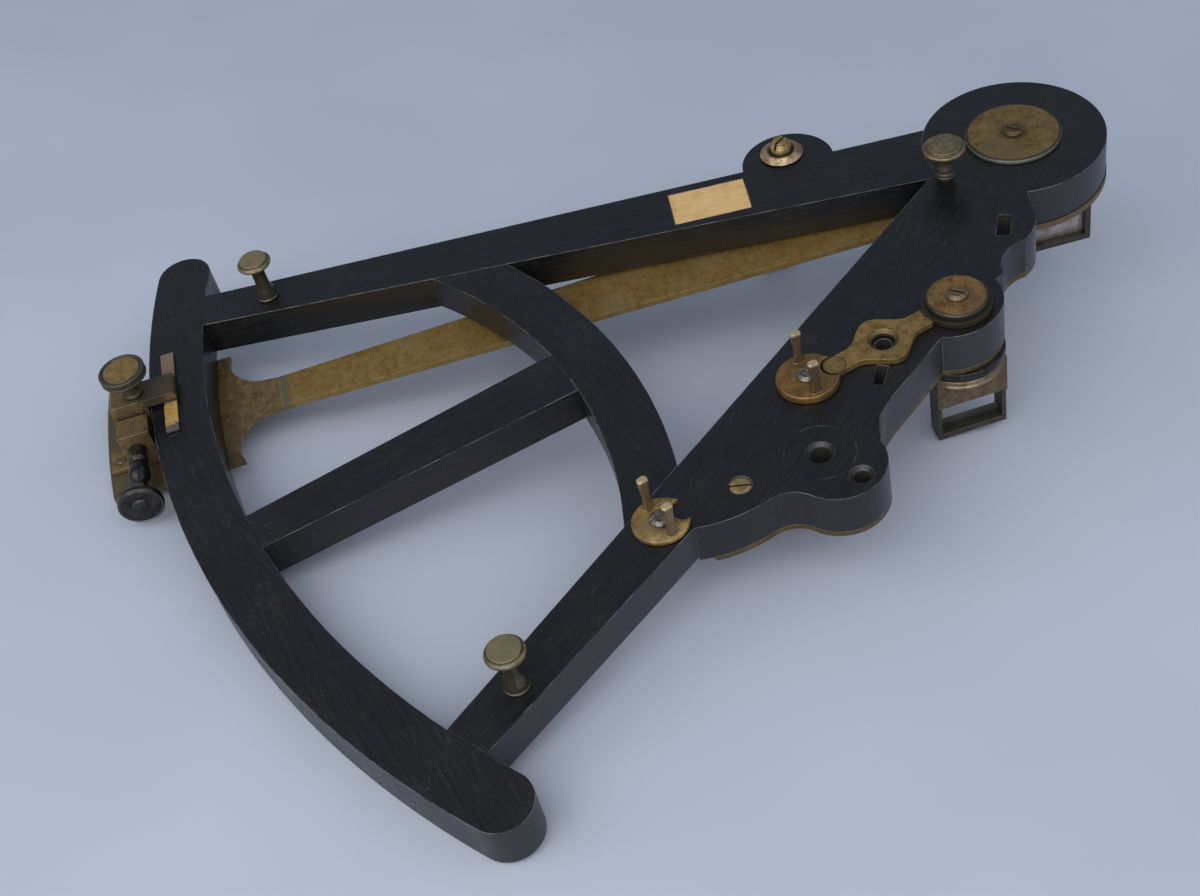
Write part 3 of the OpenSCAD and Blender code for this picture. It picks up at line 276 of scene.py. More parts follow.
def dress(material, *names):
    """Gives named nodes one material, and hands it back."""
    for name in names:
        nodes[name].data.materials.clear()
        nodes[name].data.materials.append(material)
    return material


print("mid grey is", round(tint(128, 128, 128)[0], 3), "of the light")

# %% [markdown]
# ## Dust, painted shade and traces on the wood
# Two marks on the frame belong to one place each: dust has settled in the open bores, painted lighter near
# their top, where light falls in, and giving way to painted shade deeper down; and a lost fitting has pressed a
# broken ring into the wood. Both are a mask of the distance from a centre, so no picture is needed.

# %% Dust and painted shade in bores, and the trace of a lost fitting
DUST_TOP, DUST_FULL, BORE_SHADE_FROM, BORE_SHADE_FULL = -0.2, -1.5, -4.0, -8.0
TRACE_R, TRACE_WIDE, TRACE_CORE, TRACE_BREAK = 11.0, 0.45, 0.1, 9.0


def dust_and_bore_shade(wood, colour, bores):
    """Colour with dust in bores of (x, y, reach): lighter just under the top face as painted light, it gives way
    to painted shade half way down.
    """
    for x, y, reach in bores:
        spot = wood.place(0.0, (x, y))
        depth = wood.axis(spot, "Z")
        # Painted light and shade by depth: the bore's colour is strongest just under the top face and fades out
        # deeper down.
        level = wood.times(
            wood.ramp(depth, DUST_TOP, DUST_FULL, 0.0, 0.6), wood.ramp(depth, BORE_SHADE_FULL, BORE_SHADE_FROM))
        inside = wood.times(wood.math("LESS_THAN", wood.radius(spot), reach), level)
        # Dust and painted light: greyish brown on the upper wall of each bore, left black deeper down as painted
        # shade.
        colour = wood.blend(inside, colour, tint(62, 58, 50))
    return colour


def traced(wood, colour, centre):
    """Colour with the broken ring that a lost fitting pressed into the wood round a centre."""
    spot = wood.place(0.0, centre)
    off = wood.math("ABSOLUTE", wood.math("SUBTRACT", wood.radius(spot), TRACE_R))
    broken = wood.ramp(wood.noise(spot, TRACE_BREAK), 0.48, 0.62)
    ring = wood.times(wood.ramp(off, TRACE_WIDE, TRACE_CORE), broken)
    return wood.coat(colour, (ring, 0.4, tint(84, 80, 74)))


print("dust lies", -DUST_TOP, "to", -BORE_SHADE_FULL, "mm deep")

# %% [markdown]
# ## Glued joints
# Sharp corners of the wood have lost their black, but the corners that are glued together have not. Each bar
# of the frame ends at the limb, and its own corners say where: the radius of its far end and the angles of
# its two sides. The worn edges stop there, on the bar as well as on the limb.

# %% Where the bars meet the limb
SEAM = 1.0


def meeting(name):
    """Radius at which a bar's top face ends at the limb, and the angles in degrees of its two sides there."""
    x, y, z = corners(name).T
    radius = np.where(z > -SEAM, np.hypot(x, y), 0.0)
    end = radius > radius.max() - SEAM
    angles = np.degrees(np.arctan2(x, -y))[end]
    return radius.max(), angles.min(), angles.max()


def unglued(wood, worn, joint):
    """Wear without the glued joints at the limb: joint is (radius, spans). A bar has no spans, and its wear
    stops at the radius; on the limb the wear of the inner edge stops within the bars' spans of angle."""
    reach, spans = joint
    radius, angle = wood.polar(wood.place())
    if not spans:
        return wood.times(worn, wood.math("LESS_THAN", radius, reach - SEAM))
    inner = wood.math("LESS_THAN", radius, reach + SEAM)
    for low, high in spans:
        taken = wood.times(wood.math("GREATER_THAN", angle, low), wood.math("LESS_THAN", angle, high))
        worn = wood.times(worn, wood.math("SUBTRACT", 1.0, wood.times(taken, inner)))
    return worn


bars = [meeting(name) for name in ("left_radius", "centre_strut", "right_radius")]
limb_in = max(radius for radius, low, high in bars)
limb_spans = [(low, high) for radius, low, high in bars]
print("bars meet the limb at", round(float(limb_in), 1), "mm")
print("their sides stand at", np.round(limb_spans, 1).tolist(), "degrees")

# %% [markdown]
# ## Ebony
# The frame is black ebony, oiled and handled for two centuries. It is nearly black in itself; what the eye
# sees is the grey of the room lying on it, broken up by fine grain that runs along each board. A diffuse
# black alone would look like rubber, so the finish is a dark, slightly glossy surface whose roughness and
# height follow stretched noise. The grey that the room lays on the sides is also painted into their colour,
# as a painted reflection. Hair-fine scratches follow the grain, scuffs cross it, and the edge mask
# shows worn corners as thin pale lines that come and go.

# %% Ebony
GRAIN, HAIR, SCUFF = (22.0, 0.7, 0.7), (4.5, 0.22, 0.22), (6.0, 0.13, 6.0)
SCUFF_TURN = 0.6
WOOD_CLOUD, WEAR_PATCH, DUST_SPECK = 26.0, 8.0, 0.8
WOOD_EDGE, GRAIN_DEPTH = 0.5, 0.035
TOE_REACH, TOE_FADE = 33.0, 8.0


def ebony(name, turn, painted_sheen, joint, bores=(), trace=None, toe=None):
    """Black wood with its grain turned by an angle, a painted reflection that greys its sides, weaker round a
    toe, no wear along its joint, dust with painted shade in its bores and the trace of a lost fitting."""
    wood = Finish(name)
    board = wood.place(turn)
    streaks = wood.noise(wood.stretch(board, GRAIN), detail=4.0, rough=0.65)
    clouds = wood.noise(board, WOOD_CLOUD)
    hairs = wood.ramp(wood.noise(wood.stretch(board, HAIR), detail=2.0), 0.6, 0.75)
    hairs = wood.times(hairs, wood.ramp(clouds, 0.35, 0.6, 0.2, 1.0))
    crossed = wood.stretch(wood.place(turn + SCUFF_TURN), SCUFF)
    scuffs = wood.ramp(wood.noise(crossed, detail=1.0), 0.65, 0.77)
    scuffs = wood.times(scuffs, wood.ramp(clouds, 0.48, 0.62))
    dust = wood.ramp(wood.noise(board, DUST_SPECK, 1.0), 0.74, 0.82)
    rounded = wood.soft_edges(WOOD_EDGE)
    worn = wood.ramp(wood.noise(board, WEAR_PATCH), 0.4, 0.6, 0.1, 1.0)
    worn = unglued(wood, wood.times(wood.edge_mask(rounded), worn), joint)
    # Painted reflection: faces turned away from the back take the grey of the room into their colour, less round a
    # toe.
    sides = wood.ramp(wood.alike(wood.own_normal(), up), 0.6, 0.2, 0.0, painted_sheen)
    if toe is not None:
        away = wood.radius(wood.place(0.0, toe))
        sides = wood.times(sides, wood.ramp(away, TOE_REACH, TOE_REACH + TOE_FADE, 0.15, 1.0))
    colour = wood.blend(wood.ramp(streaks, 0.35, 0.75), tint(6, 7, 8), tint(21, 21, 22))
    # The painted reflection greys the sides.
    colour = wood.blend(sides, colour, tint(46, 47, 50))
    colour = wood.coat(
        colour, (hairs, 0.45, tint(80, 80, 82)), (scuffs, 0.5, tint(96, 94, 92)),
        (dust, 0.5, tint(120, 116, 110)), (worn, 0.7, tint(146, 142, 136)))
    colour = dust_and_bore_shade(wood, colour, bores)
    if trace is not None:
        colour = traced(wood, colour, trace)
    gloss = wood.add(wood.ramp(streaks, 0.3, 0.8, 0.26, 0.4), wood.ramp(clouds, 0.3, 0.7, 0.0, 0.1))
    height = wood.add(streaks, wood.times(hairs, -0.6))
    return wood.surface(Base_Color=colour, Roughness=gloss, Normal=wood.bump(height, GRAIN_DEPTH, rounded))


print("ebony ready, grain", GRAIN[0], "mm long")

# %% [markdown]
# ## The five boards
# Each board has its own direction of grain, and its sides their own strength of painted reflection. The right
# radius carries most: the bores of a mirror that is gone, two mortises, the hole under the lever, and a
# scalloped edge whose sides carry less painted reflection round the toe, so they look darker there. The bores'
# places are in the model's record.

# %% Ebony boards
RADIUS_LEAN = np.radians(24.0)
UPRIGHT = np.pi / 2
LEVER_HOLE_AT, LEVER_TIP_AT = 28.6, 46.9
UPPER_MORTISE, LOWER_MORTISE = (36.3, -32.0), (68.5, -104.5)
TOE_FROM_BORE = (16.0, -13.0)
AXIS_REACH, PEG_REACH, UPPER_REACH, LOWER_REACH, HOLE_REACH = 5.0, 4.2, 6.5, 5.5, 4.0

lost_axis, lost_peg = (
    to_flat(mounts[name]["pos_m"])[:2] for name in ("back_mirror_axis_bore", "back_mirror_peg_bore"))
horizon_at = to_flat(joints["horizon_turn"]["pos_m"])[:2]
lever_hole, lever_tip = horizon_at - (0.0, LEVER_HOLE_AT), horizon_at - (0.0, LEVER_TIP_AT)
bores = (
    (*lost_axis, AXIS_REACH), (*lost_peg, PEG_REACH), (*UPPER_MORTISE, UPPER_REACH),
    (*LOWER_MORTISE, LOWER_REACH), (*lever_hole, HOLE_REACH))
limb_joint, bar_joint = (limb_in, limb_spans), (limb_in, ())
# The share after each board's turn is the strength of the painted reflection on its sides.
dress(ebony("ebony_arc", 0.0, painted_sheen=0.2, joint=limb_joint), "limb", "cross_brace")
dress(ebony("ebony_strut", UPRIGHT, painted_sheen=0.1, joint=bar_joint), "centre_strut")
dress(ebony("ebony_left", UPRIGHT - RADIUS_LEAN, painted_sheen=0.05, joint=bar_joint), "left_radius")
dress(ebony(
    "ebony_right", UPRIGHT + RADIUS_LEAN, painted_sheen=0.55, joint=bar_joint, bores=bores, trace=lost_axis,
    toe=lost_axis + TOE_FROM_BORE), "right_radius")
print("ebony on 5 boards; the lost mirror stood at", lost_axis.round(1), "mm")

# %% [markdown]
# ## Old brass
# Brass of this age was lacquered once. The lacquer has gone amber, worn through to bare metal where hands
# go, and let brown specks and an olive film in elsewhere. The finish mixes four colours by noise of
# different sizes and by nearness: broad olive clouds, a mottle of a few millimetres, brown specks under a
# millimetre, and painted shade with dirt in the corners where pieces meet. Lacquer and film scatter light, so
# the surface is only partly metal. Some stains belong to one place, such as the grey of a brazed joint, and
# the painted shade under a cap is placed the same way; each is a mark, a span of radius, height or length
# along the arm that takes a shade of its own.

# %% Marks at known places
ORIGIN, FAR = (0.0, 0.0), 400.0
Mark = namedtuple(
    "Mark", "kind shade strength low high centre soft ragged", defaults=(-FAR, FAR, ORIGIN, 0.2, 0.0))


def marked(metal, colour, marks, grit):
    """Colour with stains. A mark covers the span from low to high of the radius about its centre, of the
    height over the frame's back or of the length along the arm, with a soft and ragged border."""
    for kind, shade, strength, low, high, centre, soft, ragged in marks:
        place = metal.place(arm_turn if kind == "along" else 0.0, centre)
        if kind == "radius":
            value = metal.radius(place)
        else:
            value = metal.axis(place, "Y" if kind == "along" else "Z")
        value = metal.add(value, metal.ramp(grit, 0.2, 0.8, -ragged, ragged))
        span = metal.times(metal.ramp(value, low - soft, low), metal.ramp(value, high + soft, high))
        colour = metal.coat(colour, (span, strength, shade))
    return colour


print("a mark has", len(Mark._fields), "measures")

# %% [markdown]
# ## Brass under old lacquer
# One function mixes every brass of the octant. It takes a light and a dark tint for the mottle and one for
# the film, then how much it is speckled, how rough it is, which way it was brushed and which marks it has.

# %% Brass mixture
METAL_SHARE = 0.65
MOTTLE, FILM_CLOUD, SPECK, BRUSH_LINE = 3.2, 19.0, 0.7, (9.0, 0.16, 0.16)
BRASS_EDGE, NOOK_REACH, SPECK_DEPTH = 0.3, 1.6, 0.015
SPECK_BROWN, BRUSH_BROWN, NOOK_SHADE_AND_DIRT = tint(48, 36, 22), tint(74, 60, 38), tint(40, 33, 24)
BARE_EDGE = tint(176, 150, 102)


def old_brass(name, light, dark, film, spots=0.6, rough=0.42, brush=None, marks=(), edge=BARE_EDGE):
    """Metal from light to dark by a mottle, under clouds of film, specks, worn edges, marks, and painted shade
    with dirt in corners.
    Brush is the angle and the strength of the lines that a file or an emery stick left."""
    metal = Finish(name)
    place = metal.place()
    mottle = metal.noise(place, MOTTLE, 4.0, 0.7)
    clouds = metal.noise(place, FILM_CLOUD, 3.0)
    specks = metal.noise(place, SPECK, 2.0)
    colour = metal.blend(metal.ramp(mottle, 0.34, 0.66), light, dark)
    colour = metal.blend(metal.ramp(clouds, 0.44, 0.7, 0.0, 0.75), colour, film)
    stains = metal.times(metal.ramp(specks, 0.56, 0.68), metal.ramp(mottle, 0.38, 0.58))
    colour = metal.coat(colour, (stains, spots, SPECK_BROWN))
    height = metal.times(specks, 0.5)
    if brush is not None:
        turn, strength = brush
        lines = metal.noise(metal.stretch(metal.place(turn), BRUSH_LINE), detail=2.0)
        colour = metal.blend(metal.ramp(lines, 0.48, 0.7, 0.0, strength), colour, BRUSH_BROWN)
        height = metal.add(height, lines)
    rounded = metal.soft_edges(BRASS_EDGE)
    edges = metal.times(metal.edge_mask(rounded), metal.ramp(mottle, 0.35, 0.6, 0.2, 0.75))
    colour = marked(metal, metal.blend(edges, colour, edge), marks, mottle)
    # Painted shade: the colour darkens where other surfaces lie close, in corners and between parts, partly
    # standing for dirt.
    nook_shade = metal.node("AmbientOcclusion", {"Distance": NOOK_REACH * MM}, out="AO", samples=RAYS)
    colour = metal.blend(metal.ramp(nook_shade, 0.85, 0.35, 0.0, 0.8), colour, NOOK_SHADE_AND_DIRT)
    gloss = metal.add(metal.ramp(clouds, 0.3, 0.7, rough - 0.08, rough + 0.08), metal.times(stains, 0.2))
    return metal.surface(
        Base_Color=colour, Metallic=METAL_SHARE, Roughness=gloss,
        Normal=metal.bump(height, SPECK_DEPTH, rounded))


print("brass ready, mottled by", MOTTLE, "mm")

# %% [markdown]
# ## Brass of the index arm
# The arm and its end plate were filed along their length and brazed together, which left a ragged grey-green
# line across the joint. The arm is dull near its head, the plate beyond the limb. The big disc over the pivot
# has a slate border with a pale outer line, and a dark middle round its screw. Painted on a picture, such
# stains would need unwrapped pieces; as marks they are measured in millimetres, like the pieces themselves.

# %% Arm, end plate and pivot disc
GREY_GREEN, SLATE, PALE = tint(104, 104, 90), tint(48, 52, 56), tint(158, 160, 150)
braze = Mark("along", GREY_GREEN, 0.8, low=-272.6, high=-270.0, soft=0.6, ragged=2.4)
dull_head = Mark("radius", tint(92, 84, 70), 0.7, high=36.0, soft=3.0, ragged=2.0)
dull_end = Mark("along", tint(90, 80, 62), 0.7, high=-319.0, soft=2.0, ragged=3.0)
disc_border = Mark("radius", SLATE, 0.9, low=15.7)
disc_line = Mark("radius", PALE, 0.55, low=16.5, soft=0.05)
disc_middle = Mark("radius", tint(66, 57, 45), 0.7, high=4.2, soft=1.6, ragged=2.0)

dress(old_brass(
    "arm_brass", tint(160, 131, 74), tint(142, 113, 58), tint(148, 126, 82), brush=(arm_turn, 0.3),
    marks=(braze, dull_head), edge=tint(110, 90, 56)), "index_arm")
dress(old_brass(
    "plate_brass", tint(148, 123, 82), tint(112, 92, 60), tint(110, 98, 74), brush=(arm_turn, 0.5),
    marks=(braze, dull_end), edge=tint(78, 76, 64)),
    "index_end_plate", "index_bush", "sight_vane", "index_mirror_foot", "index_mirror_screws")
dress(old_brass(
    "disc_brass", tint(138, 114, 70), tint(112, 88, 50), tint(122, 104, 68), spots=0.85,
    marks=(disc_border, disc_line, disc_middle)), "axis_disc", "axis_screw")
print("brass of the arm in 3 mixtures")

# %% [markdown]
# ## Brass of the lever and the discs
# The lever that trims the horizon mirror has painted shade under and round its cap, a dirty rim round its
# hole and a turned circle on its tip. The two adjusting discs are more golden, and their pegs are grey with
# bright ends, so two marks of height are enough to tell disc, peg and end apart.

# %% Lever, cap and adjusting discs
CAP_SHADOW, PEG_END = tint(46, 43, 38), tint(206, 188, 146)
cap_border = Mark("radius", tint(46, 47, 44), 0.9, low=9.4, centre=horizon_at, soft=0.15)
cap_rim = Mark("radius", SLATE, 0.6, low=10.0, centre=horizon_at, soft=0.05)
# Painted shade: the lever is darkened under and just round the cap.
cap_shadow_on_lever = Mark("radius", CAP_SHADOW, 0.9, high=12.2, centre=horizon_at, soft=0.6, ragged=0.8)
tip_circle = Mark("radius", tint(54, 44, 30), 0.7, low=3.4, high=3.7, centre=lever_tip, soft=0.15)
hole_rim = Mark("radius", tint(76, 64, 44), 0.7, high=4.9, centre=lever_hole, soft=0.5, ragged=0.6)

dress(old_brass(
    "cap_brass", tint(150, 116, 70), tint(114, 80, 44), tint(108, 90, 64), spots=0.85,
    marks=(cap_border, cap_rim)), "horizon_cap")
dress(old_brass(
    "lever_brass", tint(158, 130, 78), tint(124, 98, 54), tint(120, 104, 68), spots=0.8,
    marks=(cap_shadow_on_lever, tip_circle, hole_rim)), "horizon_lever")
wing_brass = dress(old_brass(
    "wing_brass", tint(150, 115, 64), tint(115, 84, 43), tint(110, 87, 55), rough=0.34,
    marks=(Mark("height", tint(104, 92, 72), 0.85, low=3.4, soft=0.4),
           Mark("height", PEG_END, 0.8, low=14.2, soft=0.3)), edge=tint(224, 190, 128)), "mirror_wing")
worn_brass = dress(old_brass(
    "worn_brass", tint(184, 152, 94), tint(126, 98, 54), tint(114, 98, 66), spots=0.9,
    marks=(Mark("height", tint(112, 98, 76), 0.8, low=2.4, soft=0.4),
           Mark("height", PEG_END, 0.8, low=13.4, soft=0.3)), edge=tint(206, 178, 124)), "back_wing")
print("brass of the lever and the discs in 4 mixtures")

# %% [markdown]
# ## Brass of the feet and the clamp
# Feet and clamp screw are darker in the stem than on the head, and the tops of the two taller feet are lightened
# as a painted highlight. The clamp's block is dark where it reaches over the limb. Its screw's head has a milled
# border that holds dirt. All of these follow height, length or radius, so marks do for them what a painted
# picture would, at any distance.

# %% Feet, clamp and its screw
STEM_BROWN = tint(62, 58, 51)
clamp_at = to_flat(joints["clamp_turn"]["pos_m"])[:2]
foot_stem = Mark("height", STEM_BROWN, 0.85, high=12.6, soft=0.4)
# Painted highlight: the head tops of the two taller feet are lightened, standing for light that falls on them.
foot_top_highlight = Mark("height", tint(160, 148, 110), 0.5, low=16.9)
block_side = Mark("along", tint(70, 66, 56), 0.8, low=-316.0, soft=2.0, ragged=3.0)
knob_border = Mark("radius", tint(72, 70, 62), 0.9, low=6.3, centre=clamp_at)
knob_stem = Mark("height", STEM_BROWN, 0.85, high=13.4, soft=0.4)

foot_brass = dress(old_brass(
    "foot_brass", tint(140, 126, 94), tint(102, 90, 66), tint(92, 86, 72), rough=0.26,
    marks=(foot_stem, foot_top_highlight), edge=tint(196, 186, 160)), "foot_apex", "foot_left", "foot_right")
dress(old_brass(
    "block_brass", tint(150, 124, 80), tint(112, 90, 56), tint(98, 88, 66), spots=0.8, marks=(block_side,)),
    "clamp_block", "tangent_block")
knob_brass = dress(old_brass(
    "knob_brass", tint(160, 132, 84), tint(132, 106, 64), tint(120, 104, 72),
    marks=(knob_border, knob_stem), edge=tint(150, 142, 122)), "clamp_screw")
print("brass of the feet and the clamp in 3 mixtures")

# %% [markdown]
# ## Small brass and bronze
# The rest needs no marks: the washer and nut of the sight vane, the lining under the lobes, the ring of the
# mirror's base, and the mirror's frame and shield, which are darker because they were bronzed.

# %% Washer, lining, screws, ring and bronze
dress(old_brass(
    "washer_brass", tint(178, 158, 126), tint(130, 106, 78), tint(112, 96, 76), spots=0.9), "vane_washer")
dress(old_brass("lining_brass", tint(112, 92, 62), tint(84, 66, 44), tint(88, 78, 60)), "lining_plate")
dress(old_brass(
    "screw_brass", tint(182, 158, 108), tint(140, 114, 70), tint(126, 110, 78)), "lining_screw", "vane_nut")
ring_brass = dress(old_brass(
    "ring_brass", tint(160, 142, 108), tint(118, 100, 72), tint(112, 100, 80), rough=0.3,
    edge=tint(196, 180, 144)), "horizon_ring")
dress(old_brass(
    "dark_bronze", tint(86, 80, 72), tint(60, 55, 50), tint(76, 72, 66), edge=tint(118, 112, 102)),
    "index_mirror_tray", "horizon_seat", "horizon_frame")
dress(old_brass(
    "shield_bronze", tint(126, 107, 82), tint(96, 81, 62), tint(104, 91, 72)),
    "horizon_shield", "tangent_block_screw", "horizon_cap_screw")
print("small brass and bronze in 6 mixtures")

# %% [markdown]
# ## Steel
# The tangent screw and the screws of the two discs are steel that was blackened and has rubbed bluish grey.
# Steel has no film or specks, so a mottle between two greys with bright corners is enough.

# %% Blackened steel
STEEL_MOTTLE, STEEL_EDGE, STEEL_DEPTH, STEEL_SHARE = 2.0, 0.25, 0.012, 0.8


def old_steel(name, light, dark, rough):
    """Steel that goes from rubbed to black by a mottle, with bright corners."""
    metal = Finish(name)
    mottle = metal.noise(metal.place(), STEEL_MOTTLE, 4.0, 0.7)
    rounded = metal.soft_edges(STEEL_EDGE)
    colour = metal.blend(metal.ramp(mottle, 0.35, 0.65), light, dark)
    colour = metal.coat(colour, (metal.edge_mask(rounded), 0.75, tint(184, 178, 166)))
    gloss = metal.ramp(mottle, 0.3, 0.7, rough, rough + 0.2)
    return metal.surface(
        Base_Color=colour, Metallic=STEEL_SHARE, Roughness=gloss,
        Normal=metal.bump(mottle, STEEL_DEPTH, rounded))


black_steel = dress(
    old_steel("black_steel", tint(66, 64, 62), tint(38, 37, 36), 0.26),
    "tangent_screw", "index_axis", "horizon_axis")
dress(
    old_steel("screw_steel", tint(136, 132, 124), tint(82, 76, 68), 0.3),
    "mirror_wing_screw", "back_wing_screw")
print("steel in 2 mixtures")

# %% [markdown]
# ## Spring strip
# The clamp bears on the limb through a strip of springy copper alloy. One end was rubbed bright, the rest is
# brown, and the tip is grey, so the place along the strip plus some noise chooses the colour.

# %% Copper strip
GREYED, GOLDEN, TIP = (-6.0, -3.0), (7.5, 9.5), (18.5, 20.0)
STRIP_CLOUD, STRIP_SCRATCH, STRIP_RAGGED = 2.0, (0.5, 6.0, 6.0), 2.5
STRIP_EDGE, STRIP_DEPTH = 0.25, 0.012


def copper_strip():
    """Brown copper that greys, turns golden and ends grey, each over a span in millimetres along the strip."""
    strip = Finish("copper_strip")
    place = strip.place(arm_turn)
    cloud = strip.noise(place, STRIP_CLOUD, 4.0, 0.7)
    scratch = strip.noise(strip.stretch(place, STRIP_SCRATCH), detail=2.0)
    along = strip.add(strip.axis(place, "X"), strip.ramp(cloud, 0.2, 0.8, -STRIP_RAGGED, STRIP_RAGGED))
    colour = strip.blend(strip.ramp(along, *GREYED), tint(156, 130, 108), tint(104, 100, 92))
    colour = strip.blend(strip.ramp(along, *GOLDEN), colour, tint(226, 180, 100))
    colour = strip.blend(strip.ramp(along, *TIP), colour, tint(112, 108, 102))
    colour = strip.blend(strip.ramp(scratch, 0.5, 0.72, 0.0, 0.45), colour, tint(96, 72, 46))
    rounded = strip.soft_edges(STRIP_EDGE)
    return strip.surface(
        Base_Color=colour, Metallic=METAL_SHARE, Roughness=0.4,
        Normal=strip.bump(scratch, STRIP_DEPTH, rounded))


dress(copper_strip(), "clamp_spring")
print("copper on the spring strip, golden from", GOLDEN[1], "to", TIP[0], "mm")

# %% [markdown]
# ## Ivory
# The name plate on the back and the scale on the front are thin ivory. Ivory yellows unevenly and has
# faint wavy lines of growth, and brown dirt sits in its pores. The scale's divisions are cut lines filled
# with black: on paper they are a function of angle and radius, so the finish computes both from the flat
# frame and draws a line wherever the angle is close to a whole number of steps.

# %% Ivory
GROWTH, IVORY_STAIN, PORE = (16.0, 1.3, 1.3), 7.0, 0.9
IVORY_EDGE, GROWTH_DEPTH = 0.6, 0.01
CUT, CUT_CORE, CUT_BLACK = 0.11, 0.4, tint(30, 26, 22)


def divided(ivory, colour, inner, steps, turn=0.0):
    """Colour with black cuts: at each step of degrees, from the inner radius outwards by the step's length.
    A ping-pong of half a step is the distance to the nearest whole step."""
    radius, angle = ivory.polar(ivory.place(turn))
    reach = ivory.math("SUBTRACT", radius, inner)
    for step, length in steps:
        offset = ivory.times(ivory.math("PINGPONG", angle, step / 2), inner * np.pi / 180)
        near = ivory.ramp(offset, CUT, CUT * CUT_CORE)
        colour = ivory.blend(ivory.times(near, ivory.math("LESS_THAN", reach, length)), colour, CUT_BLACK)
    return colour


def old_ivory(name, turn, arc=None):
    """Cream ivory with growth lines, stains and pores; arc adds divisions as (inner radius, steps, turn)."""
    ivory = Finish(name)
    place = ivory.place(turn)
    growth = ivory.noise(ivory.stretch(place, GROWTH), detail=2.0)
    stain = ivory.noise(place, IVORY_STAIN, 4.0, 0.65)
    pores = ivory.ramp(ivory.noise(place, PORE, 2.0), 0.66, 0.76)
    colour = ivory.blend(ivory.ramp(growth, 0.35, 0.7), tint(204, 171, 117), tint(196, 161, 105))
    colour = ivory.blend(ivory.ramp(stain, 0.5, 0.72, 0.0, 0.8), colour, tint(176, 134, 80))
    colour = ivory.blend(ivory.ramp(stain, 0.45, 0.25, 0.0, 0.4), colour, tint(218, 192, 146))
    colour = ivory.coat(colour, (pores, 0.45, tint(132, 96, 58)))
    if arc is not None:
        colour = divided(ivory, colour, *arc)
    rounded = ivory.soft_edges(IVORY_EDGE)
    grime = ivory.times(ivory.edge_mask(rounded), ivory.ramp(stain, 0.35, 0.6, 0.3, 0.9))
    colour = ivory.blend(grime, colour, tint(112, 76, 40))
    return ivory.surface(Base_Color=colour, Roughness=0.42, Normal=ivory.bump(growth, GROWTH_DEPTH, rounded))


print("ivory ready, cuts", CUT, "mm from middle to edge")

# %% [markdown]
# ## Plate, scale and vernier
# The plate lies along the left radius. The scale has three lengths of line: every sixth of a degree, every half
# and every two and a half. The vernier's lines start further out and turn with the arm.

# %% Ivory plates and divided arcs
SCALE_IN, VERNIER_IN = 298.0, 304.6
SCALE_STEPS, VERNIER_STEPS = ((1 / 6, 2.2), (0.5, 3.4), (2.5, 5.2)), ((1 / 6, 1.8),)

dress(old_ivory("ivory_plate", UPRIGHT - RADIUS_LEAN), "name_plate")
dress(old_ivory("ivory_scale", 0.0, (SCALE_IN, SCALE_STEPS)), "limb_scale")
dress(old_ivory("ivory_vernier", 0.0, (VERNIER_IN, VERNIER_STEPS, arm_turn)), "vernier")
print("ivory on 3 pieces, with", len(SCALE_STEPS), "kinds of division")

# %% [markdown]
# ## Mirrors and glass
# Old silvering is a tin film behind glass. It has gone pinkish grey, with darker blooms, and no longer
# gives a clean picture, so it is a rough metal rather than a perfect mirror. The clear half of the horizon
# pane is thin plate, which hardly bends what is seen through it, so most of the light simply passes: the
# finish is a smooth surface of low alpha with a faint smear.

# %% Silvering and plate glass
BLOOM, PINPRICK, SMEAR = 4.0, 0.7, 6.0
SILVER_SHARE = 0.85


def silvering():
    """Pinkish grey film with dark blooms and pinpricks."""
    film = Finish("silvering")
    place = film.place()
    bloom = film.noise(place, BLOOM, 5.0, 0.7)
    pinpricks = film.noise(place, PINPRICK, 2.0)
    colour = film.blend(film.ramp(bloom, 0.35, 0.65), tint(196, 184, 178), tint(150, 138, 132))
    colour = film.blend(film.ramp(pinpricks, 0.62, 0.75, 0.0, 0.6), colour, tint(104, 92, 86))
    return film.surface(
        Base_Color=colour, Metallic=SILVER_SHARE, Roughness=film.ramp(bloom, 0.3, 0.7, 0.3, 0.5))


def plate_glass():
    """Thin clear glass: little of it shows, more where a smear lies."""
    pane = Finish("plate_glass")
    smear = pane.noise(pane.place(), SMEAR, 3.0)
    return pane.surface(
        Base_Color=tint(206, 216, 212), Roughness=pane.ramp(smear, 0.4, 0.7, 0.02, 0.1),
        Alpha=pane.ramp(smear, 0.35, 0.75, 0.02, 0.06))


dress(silvering(), "index_mirror_glass", "horizon_mirror")
dress(plate_glass(), "horizon_glass")
print("silvering and glass done")

# %% [markdown]
# ## Profiles for the lathe
# Feet, screws and knobs came off a lathe, so each is a profile carried round an axis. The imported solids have
# the same profiles in a few steps; here they get the beads, grooves and milled edges a turner would cut.
# A profile is a list of radii and heights, put together from four strokes of the tool.

# %% Strokes of a turner's tool
def line(*places):
    """Straight stretches through (radius, height) places."""
    return np.array(places, float)


def wall(r, z0, z1, steps):
    """A straight side in even steps: the radius stays while the height goes from z0 to z1."""
    return np.stack([np.full(steps, r), np.linspace(z0, z1, steps)], 1)


def ease(r0, z0, r1, z1, steps=10):
    """A flare: the height goes evenly from z0 to z1, the radius by half a cosine wave from r0 to r1."""
    t = np.linspace(0.0, 1.0, steps)
    return np.stack([r0 + (r1 - r0) * (1 - np.cos(np.pi * t)) / 2, z0 + (z1 - z0) * t], 1)


def bead(r, z, size, start=-90.0, end=90.0, steps=9):
    """A round moulding: an arc of that size about (r, z) from the start to the end angle in degrees."""
    angle = np.radians(np.linspace(start, end, steps))
    return np.stack([r + size * np.cos(angle), z + size * np.sin(angle)], 1)


print("a quarter bead of 1 mm ends at", bead(0.0, 0.0, 1.0, 0.0, 90.0)[-1].round(1).tolist())

